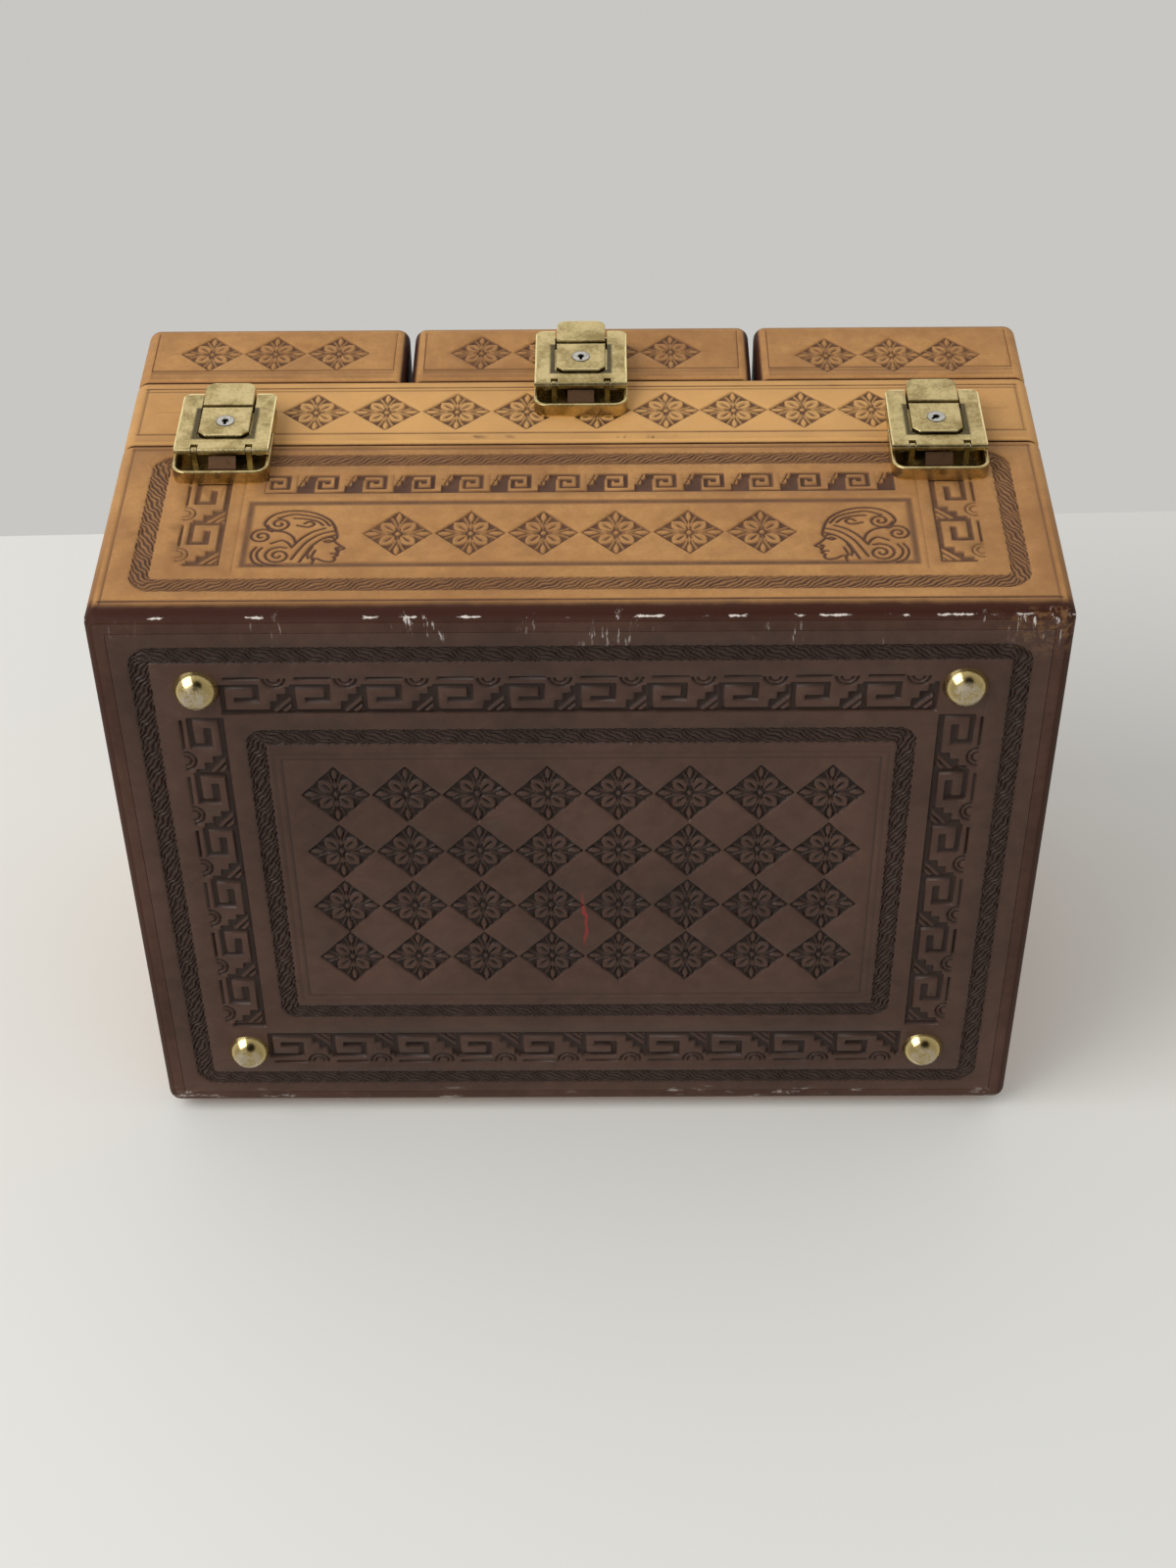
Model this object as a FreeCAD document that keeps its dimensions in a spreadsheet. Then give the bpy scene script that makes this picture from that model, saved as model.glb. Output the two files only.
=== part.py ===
"""A leather jewellery case: a base, an upper tray hinged to it, and three lids hinged to the tray."""

import FreeCAD
import Part
import os

from FreeCAD import Rotation, Vector

SIZES = [
    ("case_width", 290.0, "width over the leather"),
    ("case_depth", 216.0, "depth over the leather"),
    ("foot_height", 5.0, "height of a foot stud under the case"),
    ("base_height", 87.2, "height of the base"),
    ("tray_height", 35.0, "height of the upper tray"),
    ("lid_height", 32.8, "height of the lids"),
    ("side_lid_width", 87.5, "width of the left and of the right lid"),
    ("lid_gap", 1.75, "gap between two lids"),
    ("seam_gap", 0.6, "gap between base and tray, and between tray and lids"),
    ("leather", 2.0, "thickness of the leather"),
    ("edge_radius", 4.0, "outer rounding of the covered edges"),
    ("rim_radius", 1.6, "outer rounding of the edges at a seam"),
    ("turn_under", 6.0, "width of the cover's edge turned under the base"),
    ("panel_gap", 0.15, "gap around the bottom panel"),
    ("wall", 7.0, "thickness of the base's and tray's wooden walls"),
    ("base_board", 6.0, "thickness of the base's floor"),
    ("tray_board", 4.0, "thickness of the tray's floor"),
    ("divider", 5.0, "thickness of a divider in the tray"),
    ("lid_wall", 6.0, "thickness of the lids' wooden walls"),
    ("lid_board", 5.0, "thickness of the lids' tops"),
    ("lining", 1.2, "thickness of the fabric lining"),
    ("lining_drop", 1.0, "drop of the lining's edge below a rim"),
    ("stud_radius", 7.0, "radius of a foot stud"),
    ("stud_wear", 0.6, "height worn off the tip of a foot stud"),
    ("stud_x", 114.5, "distance of the studs from the middle"),
    ("stud_edge", 27.5, "distance of the studs from the front and the back"),
    ("stud_shank_radius", 1.3, "radius of a stud's shank"),
    ("stud_shank", 6.5, "length of a stud's shank"),
    ("fixing_fit", 0.05, "clearance around a shank, rivet, screw or pin"),
    ("fixing_depth", 6.5, "depth of rivets and screws below the leather's face"),
    ("latch_x", 111.5, "distance of the side latches from the middle"),
    ("latch_width", 30.0, "width of a lock pan"),
    ("pan_drop", 21.5, "reach of a lock pan below its seam"),
    ("pan_seam", 0.5, "distance of lock pan and strike from the seam"),
    ("pan_depth", 4.5, "height of the pans' rims above the leather"),
    ("pan_floor", 0.8, "thickness of the pans' floors"),
    ("pan_wall", 1.2, "thickness of the pans' rims"),
    ("pan_corner", 4.5, "rounding of the pans' corners"),
    ("rivet_x", 11.0, "distance of a latch's rivets from its middle"),
    ("pan_rivet_drop", 5.5, "distance of a lock pan's rivets below the seam"),
    ("strike_rivet_rise", 7.0, "distance of a strike's rivets above the seam"),
    ("rivet_radius", 1.2, "radius of a rivet's shank"),
    ("rivet_head_radius", 2.0, "radius of a rivet's head"),
    ("rivet_head", 1.2, "height of a rivet's head"),
    ("axis_drop", 12.2, "distance of a hasp's axis below the seam"),
    ("axis_out", 6.1, "distance of a hasp's axis from the leather"),
    ("barrel_radius", 1.3, "radius of a hasp's rolled edge"),
    ("hasp_pin_radius", 0.7, "radius of a hasp's pin"),
    ("ear_x", 8.5, "distance of the pin's ears from the latch's middle"),
    ("ear_thickness", 1.6, "thickness of an ear"),
    ("ear_radius", 1.1, "radius of an ear's end"),
    ("ear_gap", 0.35, "clearance around an ear"),
    ("hasp_width", 29.6, "width of a hasp"),
    ("hasp_rise", 17.3, "reach of a hasp above the seam"),
    ("hasp_sheet", 1.2, "thickness of a hasp's plate"),
    ("hasp_corner", 2.4, "rounding of a hasp's upper corners"),
    ("button_width", 15.8, "width of a key button and of a strike's tab"),
    ("button_drop", 7.0, "reach of a key button below the seam"),
    ("button_rise", 8.6, "reach of a key button above the seam"),
    ("button_out", 8.3, "height of a key button above the leather"),
    ("button_corner", 2.2, "chamfer of a key button's lower corners"),
    ("button_gap", 0.6, "gap between a key button and the hasp's slot"),
    ("flange_reach", 1.3, "reach of a key button's flange under the hasp"),
    ("flange_sheet", 1.2, "thickness of a key button's flange"),
    ("flange_gap", 0.3, "gap between a key button's flange and the hasp"),
    ("soft_edge", 0.4, "rounding of the latches' handled edges"),
    ("plug_radius", 2.9, "radius of a key plug"),
    ("plug_proud", 0.15, "height of a key plug above its button"),
    ("plug_length", 4.2, "length of a key plug"),
    ("keyhole_radius", 0.8, "radius of the keyhole's round part"),
    ("keyhole_width", 0.9, "width of the keyhole's slot"),
    ("keyhole_length", 2.1, "length of the keyhole's slot"),
    ("keyhole_depth", 2.4, "depth of the keyhole"),
    ("right_key_turn", 45.0, "turn of the right key plug, in degrees"),
    ("strike_rise", 18.5, "reach of a strike's pan above the seam"),
    ("strike_side", 0.6, "strike's pan narrower than the lock pan on each side"),
    ("tab_gap", 0.8, "gap between a strike's tab and the key button"),
    ("tab_rise", 21.5, "reach of a strike's tab above the seam"),
    ("tab_out", 8.8, "height of a strike's tab above the leather"),
    ("tab_sheet", 1.5, "thickness of a strike's tab"),
    ("tab_corner", 3.0, "rounding of a tab's upper corners"),
    ("spring_width", 8.5, "width of a leaf spring"),
    ("spring_sheet", 0.6, "thickness of a leaf spring"),
    ("spring_bend", 15.2, "distance of a leaf spring's bend below the seam"),
    ("spring_tip", 3.9, "length of a leaf spring's raised end"),
    ("spring_angle", 50.0, "rise of a leaf spring's end, in degrees"),
    ("hinge_length", 46.0, "length of a hinge"),
    ("leaf_width", 13.0, "width of a hinge leaf"),
    ("leaf_sheet", 1.0, "thickness of a hinge leaf"),
    ("knuckle_radius", 2.0, "radius of a hinge's knuckles"),
    ("knuckle_lift", 0.2, "gap between a knuckle and the leather"),
    ("knuckle_end", 14.0, "length of a hinge's outer knuckles"),
    ("knuckle_gap", 0.3, "gap between two knuckles"),
    ("leaf_gap", 0.4, "gap between a leaf and the other leaf's knuckle"),
    ("hinge_pin_radius", 1.1, "radius of a hinge pin"),
    ("screw_u", 15.0, "distance of a leaf's screws from its middle"),
    ("screw_s", 8.0, "distance of a leaf's screws from the hinge axis"),
    ("screw_radius", 1.1, "radius of a screw's shank"),
    ("screw_head_radius", 2.0, "radius of a screw's head"),
    ("screw_head", 0.8, "height of a screw's countersunk head"),
    ("main_hinge_x", 88.0, "distance of the main hinges from the middle"),
    ("centre_hinge_x", 29.0, "distance of the centre lid's hinges from the middle"),
    ("side_hinge_y", 62.0, "distance of a side lid's hinges from the middle of its side"),
    ("past", 1.0, "reach of a cutting shape past the face that it cuts"),
]

doc = FreeCAD.newDocument("leather_jewellery_case")
sheet = doc.addObject("Spreadsheet::Sheet", "dims")
for row, (alias, value, meaning) in enumerate(SIZES, 1):
    sheet.set(f"A{row}", meaning)
    sheet.set(f"B{row}", str(value))
    sheet.setAlias(f"B{row}", alias)
doc.recompute()

pieces = {}
cutters = {"base": [], "floor": [], "tray": [], "left_lid": [], "centre_lid": [], "right_lid": []}

# Heights and outer faces, as expressions of the sheet
half_width = "(dims.case_width / 2)"
knuckle_out = "(dims.knuckle_radius + dims.knuckle_lift)"
hinge_proud = f"({knuckle_out} + dims.knuckle_radius)"
front = f"((dims.tab_out - {hinge_proud} - dims.case_depth) / 2)"
back = f"({front} + dims.case_depth)"
middle_y = f"({front} + dims.case_depth / 2)"
base_top = "(dims.foot_height + dims.base_height)"
tray_bottom = f"({base_top} + dims.seam_gap)"
tray_top = f"({tray_bottom} + dims.tray_height)"
lid_bottom = f"({tray_top} + dims.seam_gap)"
lid_top = f"({lid_bottom} + dims.lid_height)"
main_seam = f"({base_top} + dims.seam_gap / 2)"
lid_seam = f"({tray_top} + dims.seam_gap / 2)"
case_x = (f"-{half_width}", half_width)
case_y = (front, back)
side_lid_edge = f"({half_width} - dims.side_lid_width)"
LIDS = {
    "left_lid": (f"-{half_width}", f"-{side_lid_edge}"),
    "centre_lid": (f"dims.lid_gap - {side_lid_edge}", f"{side_lid_edge} - dims.lid_gap"),
    "right_lid": (side_lid_edge, half_width),
}


def size(alias):
    """The value of one size of the sheet."""
    return float(sheet.get(alias))


def shrink(span, amount):
    """A span with both ends moved inwards."""
    return f"({span[0]}) + ({amount})", f"({span[1]}) - ({amount})"


def around(middle, half):
    """A span about a middle."""
    return f"({middle}) - ({half})", f"({middle}) + ({half})"


def piece(node, obj):
    """Names an object as one physical piece."""
    obj.Label = node
    pieces[node] = obj


def block(name, x, y, z):
    """A rectangular block between three spans."""
    obj = doc.addObject("Part::Box", name)
    for side, axis, (low, high) in (("Length", "x", x), ("Width", "y", y), ("Height", "z", z)):
        obj.setExpression(side, f"({high}) - ({low})")
        obj.setExpression(f"Placement.Base.{axis}", low)
    return obj


def aim(obj, direction, start):
    """Turns a round solid from +Z to a direction, with its first end at a place."""
    obj.Placement = FreeCAD.Placement(Vector(), Rotation(Vector(0, 0, 1), direction))
    for axis, value in zip("xyz", start):
        obj.setExpression(f"Placement.Base.{axis}", value)
    return obj


def rod(name, radius, length, direction, start):
    """A round bar."""
    obj = doc.addObject("Part::Cylinder", name)
    obj.setExpression("Radius", radius)
    obj.setExpression("Height", length)
    return aim(obj, direction, start)


def cone(name, first_radius, last_radius, length, direction, start):
    """A round bar that tapers."""
    obj = doc.addObject("Part::Cone", name)
    obj.setExpression("Radius1", first_radius)
    obj.setExpression("Radius2", last_radius)
    obj.setExpression("Height", length)
    return aim(obj, direction, start)


def fuse(name, *parts):
    """Several solids as one."""
    obj = doc.addObject("Part::MultiFuse", name)
    obj.Shapes = list(parts)
    return obj


def group(name, parts):
    """Several solids side by side."""
    obj = doc.addObject("Part::Compound", name)
    obj.Links = list(parts)
    return obj


def cut(name, base, *tools):
    """A solid with other solids taken away."""
    obj = doc.addObject("Part::Cut", name)
    obj.Base = base
    obj.Tool = tools[0] if len(tools) == 1 else group(name + "_tools", tools)
    return obj


def dress(kind, name, base, radius_of):
    """A solid with some of its edges rounded or chamfered; radius_of gives each edge's size, or 0."""
    doc.recompute()
    edges = []
    for index, edge in enumerate(base.Shape.Edges, 1):
        radius = radius_of(edge, base.Shape.BoundBox)
        if radius > 0:
            edges.append((index, radius, radius))
    obj = doc.addObject(kind, name)
    obj.Base = base
    obj.Edges = edges
    return obj


def rounded_block(name, x, y, z, sides, top=0.0, bottom=0.0):
    """A block with rounded upright edges and, where given, rounded upper and lower edges."""

    def radius_of(edge, box):
        if edge.BoundBox.ZLength > box.ZLength / 2:
            return sides
        return top if edge.CenterOfMass.z > box.Center.z else bottom

    return dress("Part::Fillet", name, block(name + "_square", x, y, z), radius_of)


def lower_corners(radius):
    """Picks the two lower corners of a block that stands out of the front."""

    def radius_of(edge, box):
        corner = edge.BoundBox.YLength > box.YLength / 2 and edge.CenterOfMass.z < box.Center.z
        return radius if corner else 0.0

    return radius_of


def upper_corners(radius):
    """Picks the two upper corners of a block that stands out of the front."""

    def radius_of(edge, box):
        corner = edge.BoundBox.YLength > box.YLength / 2 and edge.CenterOfMass.z > box.Center.z
        return radius if corner else 0.0

    return radius_of


def outer_edges(radius):
    """Picks the edges that lie in the foremost plane of a solid on the front."""

    def radius_of(edge, box):
        return radius if edge.BoundBox.YMax < box.YMin + radius / 4 else 0.0

    return radius_of


class Face:
    """One side of the case: u runs along it, o out of it, and s up from a seam."""

    def __init__(self, along, out, surface, middle, seam):
        self.along = along
        self.out = out
        self.surface = surface
        self.middle = middle
        self.seam = seam
        self.u_axis = 0 if along.x else 1
        self.o_axis = 1 - self.u_axis
        self.sign = int(out.x + out.y)

    def point(self, u, o, s):
        """A place on the face, as x, y and z."""
        place = ["", "", f"{self.seam} + ({s})"]
        place[self.u_axis] = f"({self.middle}) + ({u})"
        place[self.o_axis] = f"({self.surface}) + {self.sign} * ({o})"
        return place

    def block(self, name, u, o, s):
        """A block between three spans of the face."""
        low = self.point(u[0], o[0], s[0])
        high = self.point(u[1], o[1], s[1])
        spans = list(zip(low, high))
        if self.sign < 0:
            spans[self.o_axis] = spans[self.o_axis][::-1]
        return block(name, *spans)

    def rod_along(self, name, radius, u, o, s):
        """A round bar that lies along the face."""
        return rod(name, radius, f"({u[1]}) - ({u[0]})", self.along, self.point(u[0], o, s))

    def rod_in(self, name, radius, u, o, s):
        """A round bar that goes into the face, from the outer end of the span o to its inner end."""
        return rod(name, radius, f"({o[1]}) - ({o[0]})", -self.out, self.point(u, o[1], s))


def cover_and_walls():
    """The wooden base and tray, their leather and their linings."""
    edge = size("edge_radius")
    rim = size("rim_radius")
    core = edge - size("leather")
    core_x = shrink(case_x, "dims.leather")
    core_y = shrink(case_y, "dims.leather")
    room_x = shrink(core_x, "dims.wall")
    room_y = shrink(core_y, "dims.wall")
    floor_bottom = "(dims.foot_height + dims.leather)"
    floor_top = f"({floor_bottom} + dims.base_board)"
    fill_top = f"{base_top} + dims.past"

    shell = rounded_block("base_outside", case_x, case_y, ("dims.foot_height", base_top), edge, rim, edge)
    fill = rounded_block("base_inside", core_x, core_y, (floor_bottom, fill_top), core, 0.0, core)
    window_x = shrink(case_x, "dims.turn_under")
    window_y = shrink(case_y, "dims.turn_under")
    window_z = ("dims.foot_height - dims.past", f"{floor_bottom} + dims.past")
    window = block("bottom_window", window_x, window_y, window_z)
    piece("base_leather", cut("base_leather", shell, fill, window, *cutters["base"]))

    panel_x = shrink(window_x, "dims.panel_gap")
    panel_y = shrink(window_y, "dims.panel_gap")
    panel = block("bottom_panel", panel_x, panel_y, ("dims.foot_height", floor_bottom))
    piece("bottom_leather", cut("bottom_leather", panel, *cutters["floor"]))

    board = rounded_block("floor_board", core_x, core_y, (floor_bottom, floor_top), core, 0.0, core)
    piece("base_floor", cut("base_floor", board, *cutters["floor"]))
    walls = rounded_block("base_walls", core_x, core_y, (floor_top, base_top), core)
    room = block("base_room", room_x, room_y, (f"{floor_top} - dims.past", fill_top))
    piece("base_frame", cut("base_frame", walls, room, *cutters["base"]))
    piece("base_lining", tub("base_lining", room_x, room_y, (floor_top, f"{base_top} - dims.lining_drop")))

    tray_fill = (f"{tray_bottom} - dims.past", f"{tray_top} + dims.past")
    band = rounded_block("tray_outside", case_x, case_y, (tray_bottom, tray_top), edge, rim, rim)
    band_fill = rounded_block("tray_inside", core_x, core_y, tray_fill, core)
    piece("tray_leather", cut("tray_leather", band, band_fill, *cutters["tray"]))
    ring = rounded_block("tray_walls", core_x, core_y, (tray_bottom, tray_top), core)
    tray_room = block("tray_room", room_x, room_y, tray_fill)
    piece("tray_frame", cut("tray_frame", ring, tray_room, *cutters["tray"]))

    board_bottom = f"({tray_bottom} + dims.lining)"
    board_top = f"({board_bottom} + dims.tray_board)"
    piece("tray_under_lining", block("tray_under_lining", room_x, room_y, (tray_bottom, board_bottom)))
    piece("tray_floor", block("tray_floor", room_x, room_y, (board_bottom, board_top)))
    divider_x = f"({side_lid_edge} - dims.lid_gap / 2)"
    dividers = []
    for name, sign in (("left", "-"), ("right", "")):
        span = around(f"{sign}{divider_x}", "dims.divider / 2")
        dividers.append(block(f"{name}_divider", span, room_y, (board_top, tray_top)))
    piece("tray_dividers", group("tray_dividers", dividers))

    inner = f"{divider_x} - dims.divider / 2"
    outer = f"{divider_x} + dims.divider / 2"
    rooms = {
        "left": (room_x[0], f"-({outer})"),
        "centre": (f"-({inner})", inner),
        "right": (outer, room_x[1]),
    }
    lining_z = (board_top, f"{tray_top} - dims.lining_drop")
    for name, span in rooms.items():
        piece(f"{name}_tray_lining", tub(f"{name}_tray_lining", span, room_y, lining_z))


def tub(name, x, y, z):
    """A lining of a floor and four walls, open at the top."""
    hollow_z = (f"{z[0]} + dims.lining", f"{z[1]} + dims.past")
    hollow = block(name + "_hollow", shrink(x, "dims.lining"), shrink(y, "dims.lining"), hollow_z)
    return cut(name, block(name + "_solid", x, y, z), hollow)


def lids():
    """Three wooden lid boxes, their leather and their linings."""
    edge = size("edge_radius")
    core = edge - size("leather")
    for name, span in LIDS.items():
        core_x = shrink(span, "dims.leather")
        core_y = shrink(case_y, "dims.leather")
        core_top = f"({lid_top} - dims.leather)"
        room_x = shrink(core_x, "dims.lid_wall")
        room_y = shrink(core_y, "dims.lid_wall")
        room_top = f"({core_top} - dims.lid_board)"
        below = f"{lid_bottom} - dims.past"

        shell_z = (lid_bottom, lid_top)
        shell = rounded_block(f"{name}_outside", span, case_y, shell_z, edge, edge, size("rim_radius"))
        fill = rounded_block(f"{name}_inside", core_x, core_y, (below, core_top), core, core)
        piece(f"{name}_leather", cut(f"{name}_leather", shell, fill, *cutters[name]))

        wood = rounded_block(f"{name}_wood", core_x, core_y, (lid_bottom, core_top), core, core)
        room = block(f"{name}_room", room_x, room_y, (below, room_top))
        piece(f"{name}_box", cut(f"{name}_box", wood, room, *cutters[name]))

        lining_z = (f"{lid_bottom} + dims.lining_drop", room_top)
        hollow_x = shrink(room_x, "dims.lining")
        hollow_y = shrink(room_y, "dims.lining")
        hollow = block(f"{name}_hollow", hollow_x, hollow_y, (below, f"{room_top} - dims.lining"))
        lining = block(f"{name}_lining_solid", room_x, room_y, lining_z)
        piece(f"{name}_lining", cut(f"{name}_lining", lining, hollow))


def feet():
    """Four domed studs with a tip worn flat, and the holes for their shanks."""
    dome = "(dims.foot_height + dims.stud_wear)"
    ball = f"((dims.stud_radius ^ 2 + {dome} ^ 2) / (2 * {dome}))"
    up = Vector(0, 0, 1)
    studs = []
    for side in (-1, 1):
        for end, edge in (("front", f"{front} + dims.stud_edge"), ("back", f"{back} - dims.stud_edge")):
            name = f"{end}_{'left' if side < 0 else 'right'}_stud"
            x = f"{side} * dims.stud_x"
            sphere = doc.addObject("Part::Sphere", name + "_ball")
            sphere.setExpression("Radius", ball)
            aim(sphere, up, (x, edge, f"{ball} - dims.stud_wear"))
            rim = rod(name + "_rim", "dims.stud_radius", "dims.foot_height", up, (x, edge, "0"))
            cap = doc.addObject("Part::MultiCommon", name + "_cap")
            cap.Shapes = [sphere, rim]
            seat = (x, edge, "dims.foot_height")
            shank = rod(name + "_shank", "dims.stud_shank_radius", "dims.stud_shank", up, seat)
            studs.append(fuse(name, cap, shank))
            low = (x, edge, "dims.foot_height - dims.past")
            hole_radius = "dims.stud_shank_radius + dims.fixing_fit"
            hole_length = "dims.stud_shank + dims.past + dims.fixing_fit"
            cutters["floor"].append(rod(name + "_hole", hole_radius, hole_length, up, low))
    piece("foot_studs", group("foot_studs", studs))


def rivet(name, face, u, s, body):
    """A round-headed rivet on a pan's floor, and its hole through leather and wood."""
    deep = "-dims.fixing_depth"
    shank = face.rod_in(name + "_shank", "dims.rivet_radius", u, (deep, "dims.pan_floor"), s)
    seat = face.point(u, "dims.pan_floor", s)
    wide = "dims.rivet_head_radius"
    head = cone(name + "_head", wide, "dims.rivet_radius", "dims.rivet_head", face.out, seat)
    hole_o = (f"{deep} - dims.fixing_fit", "dims.pan_floor + dims.past")
    hole = face.rod_in(name + "_hole", "dims.rivet_radius + dims.fixing_fit", u, hole_o, s)
    cutters[body].append(hole)
    return fuse(name, shank, head), hole


def rivets(name, face, s, body):
    """The two rivets of a pan, and their holes."""
    made = []
    for number, side in ((1, -1), (2, 1)):
        made.append(rivet(f"{name}_rivet_{number}", face, f"{side} * dims.rivet_x", s, body))
    return [pair[0] for pair in made], [pair[1] for pair in made]


def lock_pan(name, face, body):
    """The shallow pan below the seam that carries a hasp: rim, floor, ears, pin, leaf spring and rivets."""
    corner = size("pan_corner")
    half = "dims.latch_width / 2"
    pan_s = ("-dims.pan_drop", "-dims.pan_seam")
    outside = face.block(f"{name}_pan_solid", (f"-{half}", half), ("0", "dims.pan_depth"), pan_s)
    outside = dress("Part::Fillet", f"{name}_pan_outside", outside, lower_corners(corner))
    inner = f"({half} - dims.pan_wall)"
    inside_o = ("dims.pan_floor", "dims.pan_depth + dims.past")
    inside_s = ("dims.pan_wall - dims.pan_drop", "dims.past")
    inside = face.block(f"{name}_pan_room", (f"-{inner}", inner), inside_o, inside_s)
    inside = dress("Part::Fillet", f"{name}_pan_inside", inside, lower_corners(corner - size("pan_wall")))
    pan = cut(f"{name}_pan", outside, inside)
    pan = dress("Part::Fillet", f"{name}_pan_soft", pan, outer_edges(size("soft_edge")))

    axis_s = "-dims.axis_drop"
    ears = []
    for side in (-1, 1):
        middle = f"{side} * dims.ear_x"
        span = around(middle, "dims.ear_thickness / 2")
        post_o = ("dims.pan_floor / 2", "dims.axis_out")
        ears.append(face.block(f"{name}_ear", span, post_o, around(axis_s, "dims.ear_radius")))
        ears.append(face.rod_along(f"{name}_ear_end", "dims.ear_radius", span, "dims.axis_out", axis_s))
    pin_half = "dims.hasp_width / 2"
    pin_span = (f"-{pin_half}", pin_half)
    bore_radius = "dims.hasp_pin_radius + dims.fixing_fit"
    bore = face.rod_along(f"{name}_ear_bore", bore_radius, pin_span, "dims.axis_out", axis_s)

    pan_rivets, holes = rivets(f"{name}_pan", face, "-dims.pan_rivet_drop", body)
    piece(f"{name}_lock_pan", cut(f"{name}_lock_pan", fuse(f"{name}_pan_eared", pan, *ears), bore, *holes))
    pin = face.rod_along(f"{name}_hasp_pin", "dims.hasp_pin_radius", pin_span, "dims.axis_out", axis_s)
    piece(f"{name}_hasp_pin", pin)

    spring_span = ("-dims.spring_width / 2", "dims.spring_width / 2")
    flat_o = ("dims.pan_floor", "dims.pan_floor + dims.spring_sheet")
    flat_s = ("dims.pan_wall + dims.pan_floor - dims.pan_drop", "dims.spring_sheet - dims.spring_bend")
    flat = face.block(f"{name}_spring_flat", spring_span, flat_o, flat_s)
    tip = doc.addObject("Part::Box", f"{name}_spring_end")
    tip.setExpression("Length", "dims.spring_width")
    tip.setExpression("Width", "dims.spring_sheet")
    tip.setExpression("Height", "dims.spring_tip")
    corner_place = face.point(spring_span[0], "dims.pan_floor + dims.spring_sheet", "-dims.spring_bend")
    aim(tip, Vector(0, 0, 1), corner_place)
    tip.Placement.Rotation = Rotation(Vector(1, 0, 0), size("spring_angle"))
    tip.setExpression("Placement.Rotation.Angle", "dims.spring_angle")
    piece(f"{name}_hasp_spring", fuse(f"{name}_hasp_spring", flat, tip))
    return pan_rivets


def strike(name, face, body):
    """The pan above the seam with the raised tab that stands in the hasp's slot, and its rivets."""
    half = "(dims.latch_width / 2 - dims.strike_side)"
    pan_s = ("dims.pan_seam", "dims.strike_rise")
    outside = face.block(f"{name}_strike_solid", (f"-{half}", half), ("0", "dims.pan_depth"), pan_s)
    outside = dress("Part::Fillet", f"{name}_strike_outside", outside, upper_corners(size("pan_corner")))
    inner = f"({half} - dims.pan_wall)"
    room_o = ("dims.pan_floor", "dims.pan_depth + dims.past")
    room_s = ("-dims.past", "dims.strike_rise - dims.pan_wall")
    room = face.block(f"{name}_strike_room", (f"-{inner}", inner), room_o, room_s)
    room_corner = size("pan_corner") - size("pan_wall")
    room = dress("Part::Fillet", f"{name}_strike_inside", room, upper_corners(room_corner))
    pan = cut(f"{name}_strike_pan", outside, room)
    pan = dress("Part::Fillet", f"{name}_strike_soft", pan, outer_edges(size("soft_edge")))

    tab_half = "dims.button_width / 2"
    tab_u = (f"-{tab_half}", tab_half)
    tab_low = "dims.button_rise + dims.tab_gap"
    tab = face.block(f"{name}_tab_solid", tab_u, ("0", "dims.tab_out"), (tab_low, "dims.tab_rise"))
    tab = dress("Part::Fillet", f"{name}_tab_round", tab, upper_corners(size("tab_corner")))
    tab = dress("Part::Fillet", f"{name}_tab_soft", tab, outer_edges(size("soft_edge")))
    under_o = ("dims.pan_floor", "dims.tab_out - dims.tab_sheet")
    under_s = (f"{tab_low} - dims.past", "dims.tab_rise - dims.tab_corner - dims.tab_sheet")
    under = face.block(f"{name}_tab_under", shrink(tab_u, "-dims.past"), under_o, under_s)
    hook = cut(f"{name}_tab", tab, under)

    strike_rivets, holes = rivets(f"{name}_strike", face, "dims.strike_rivet_rise", body)
    piece(f"{name}_strike", cut(f"{name}_strike", fuse(f"{name}_strike_whole", pan, hook), *holes))
    return strike_rivets


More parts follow.
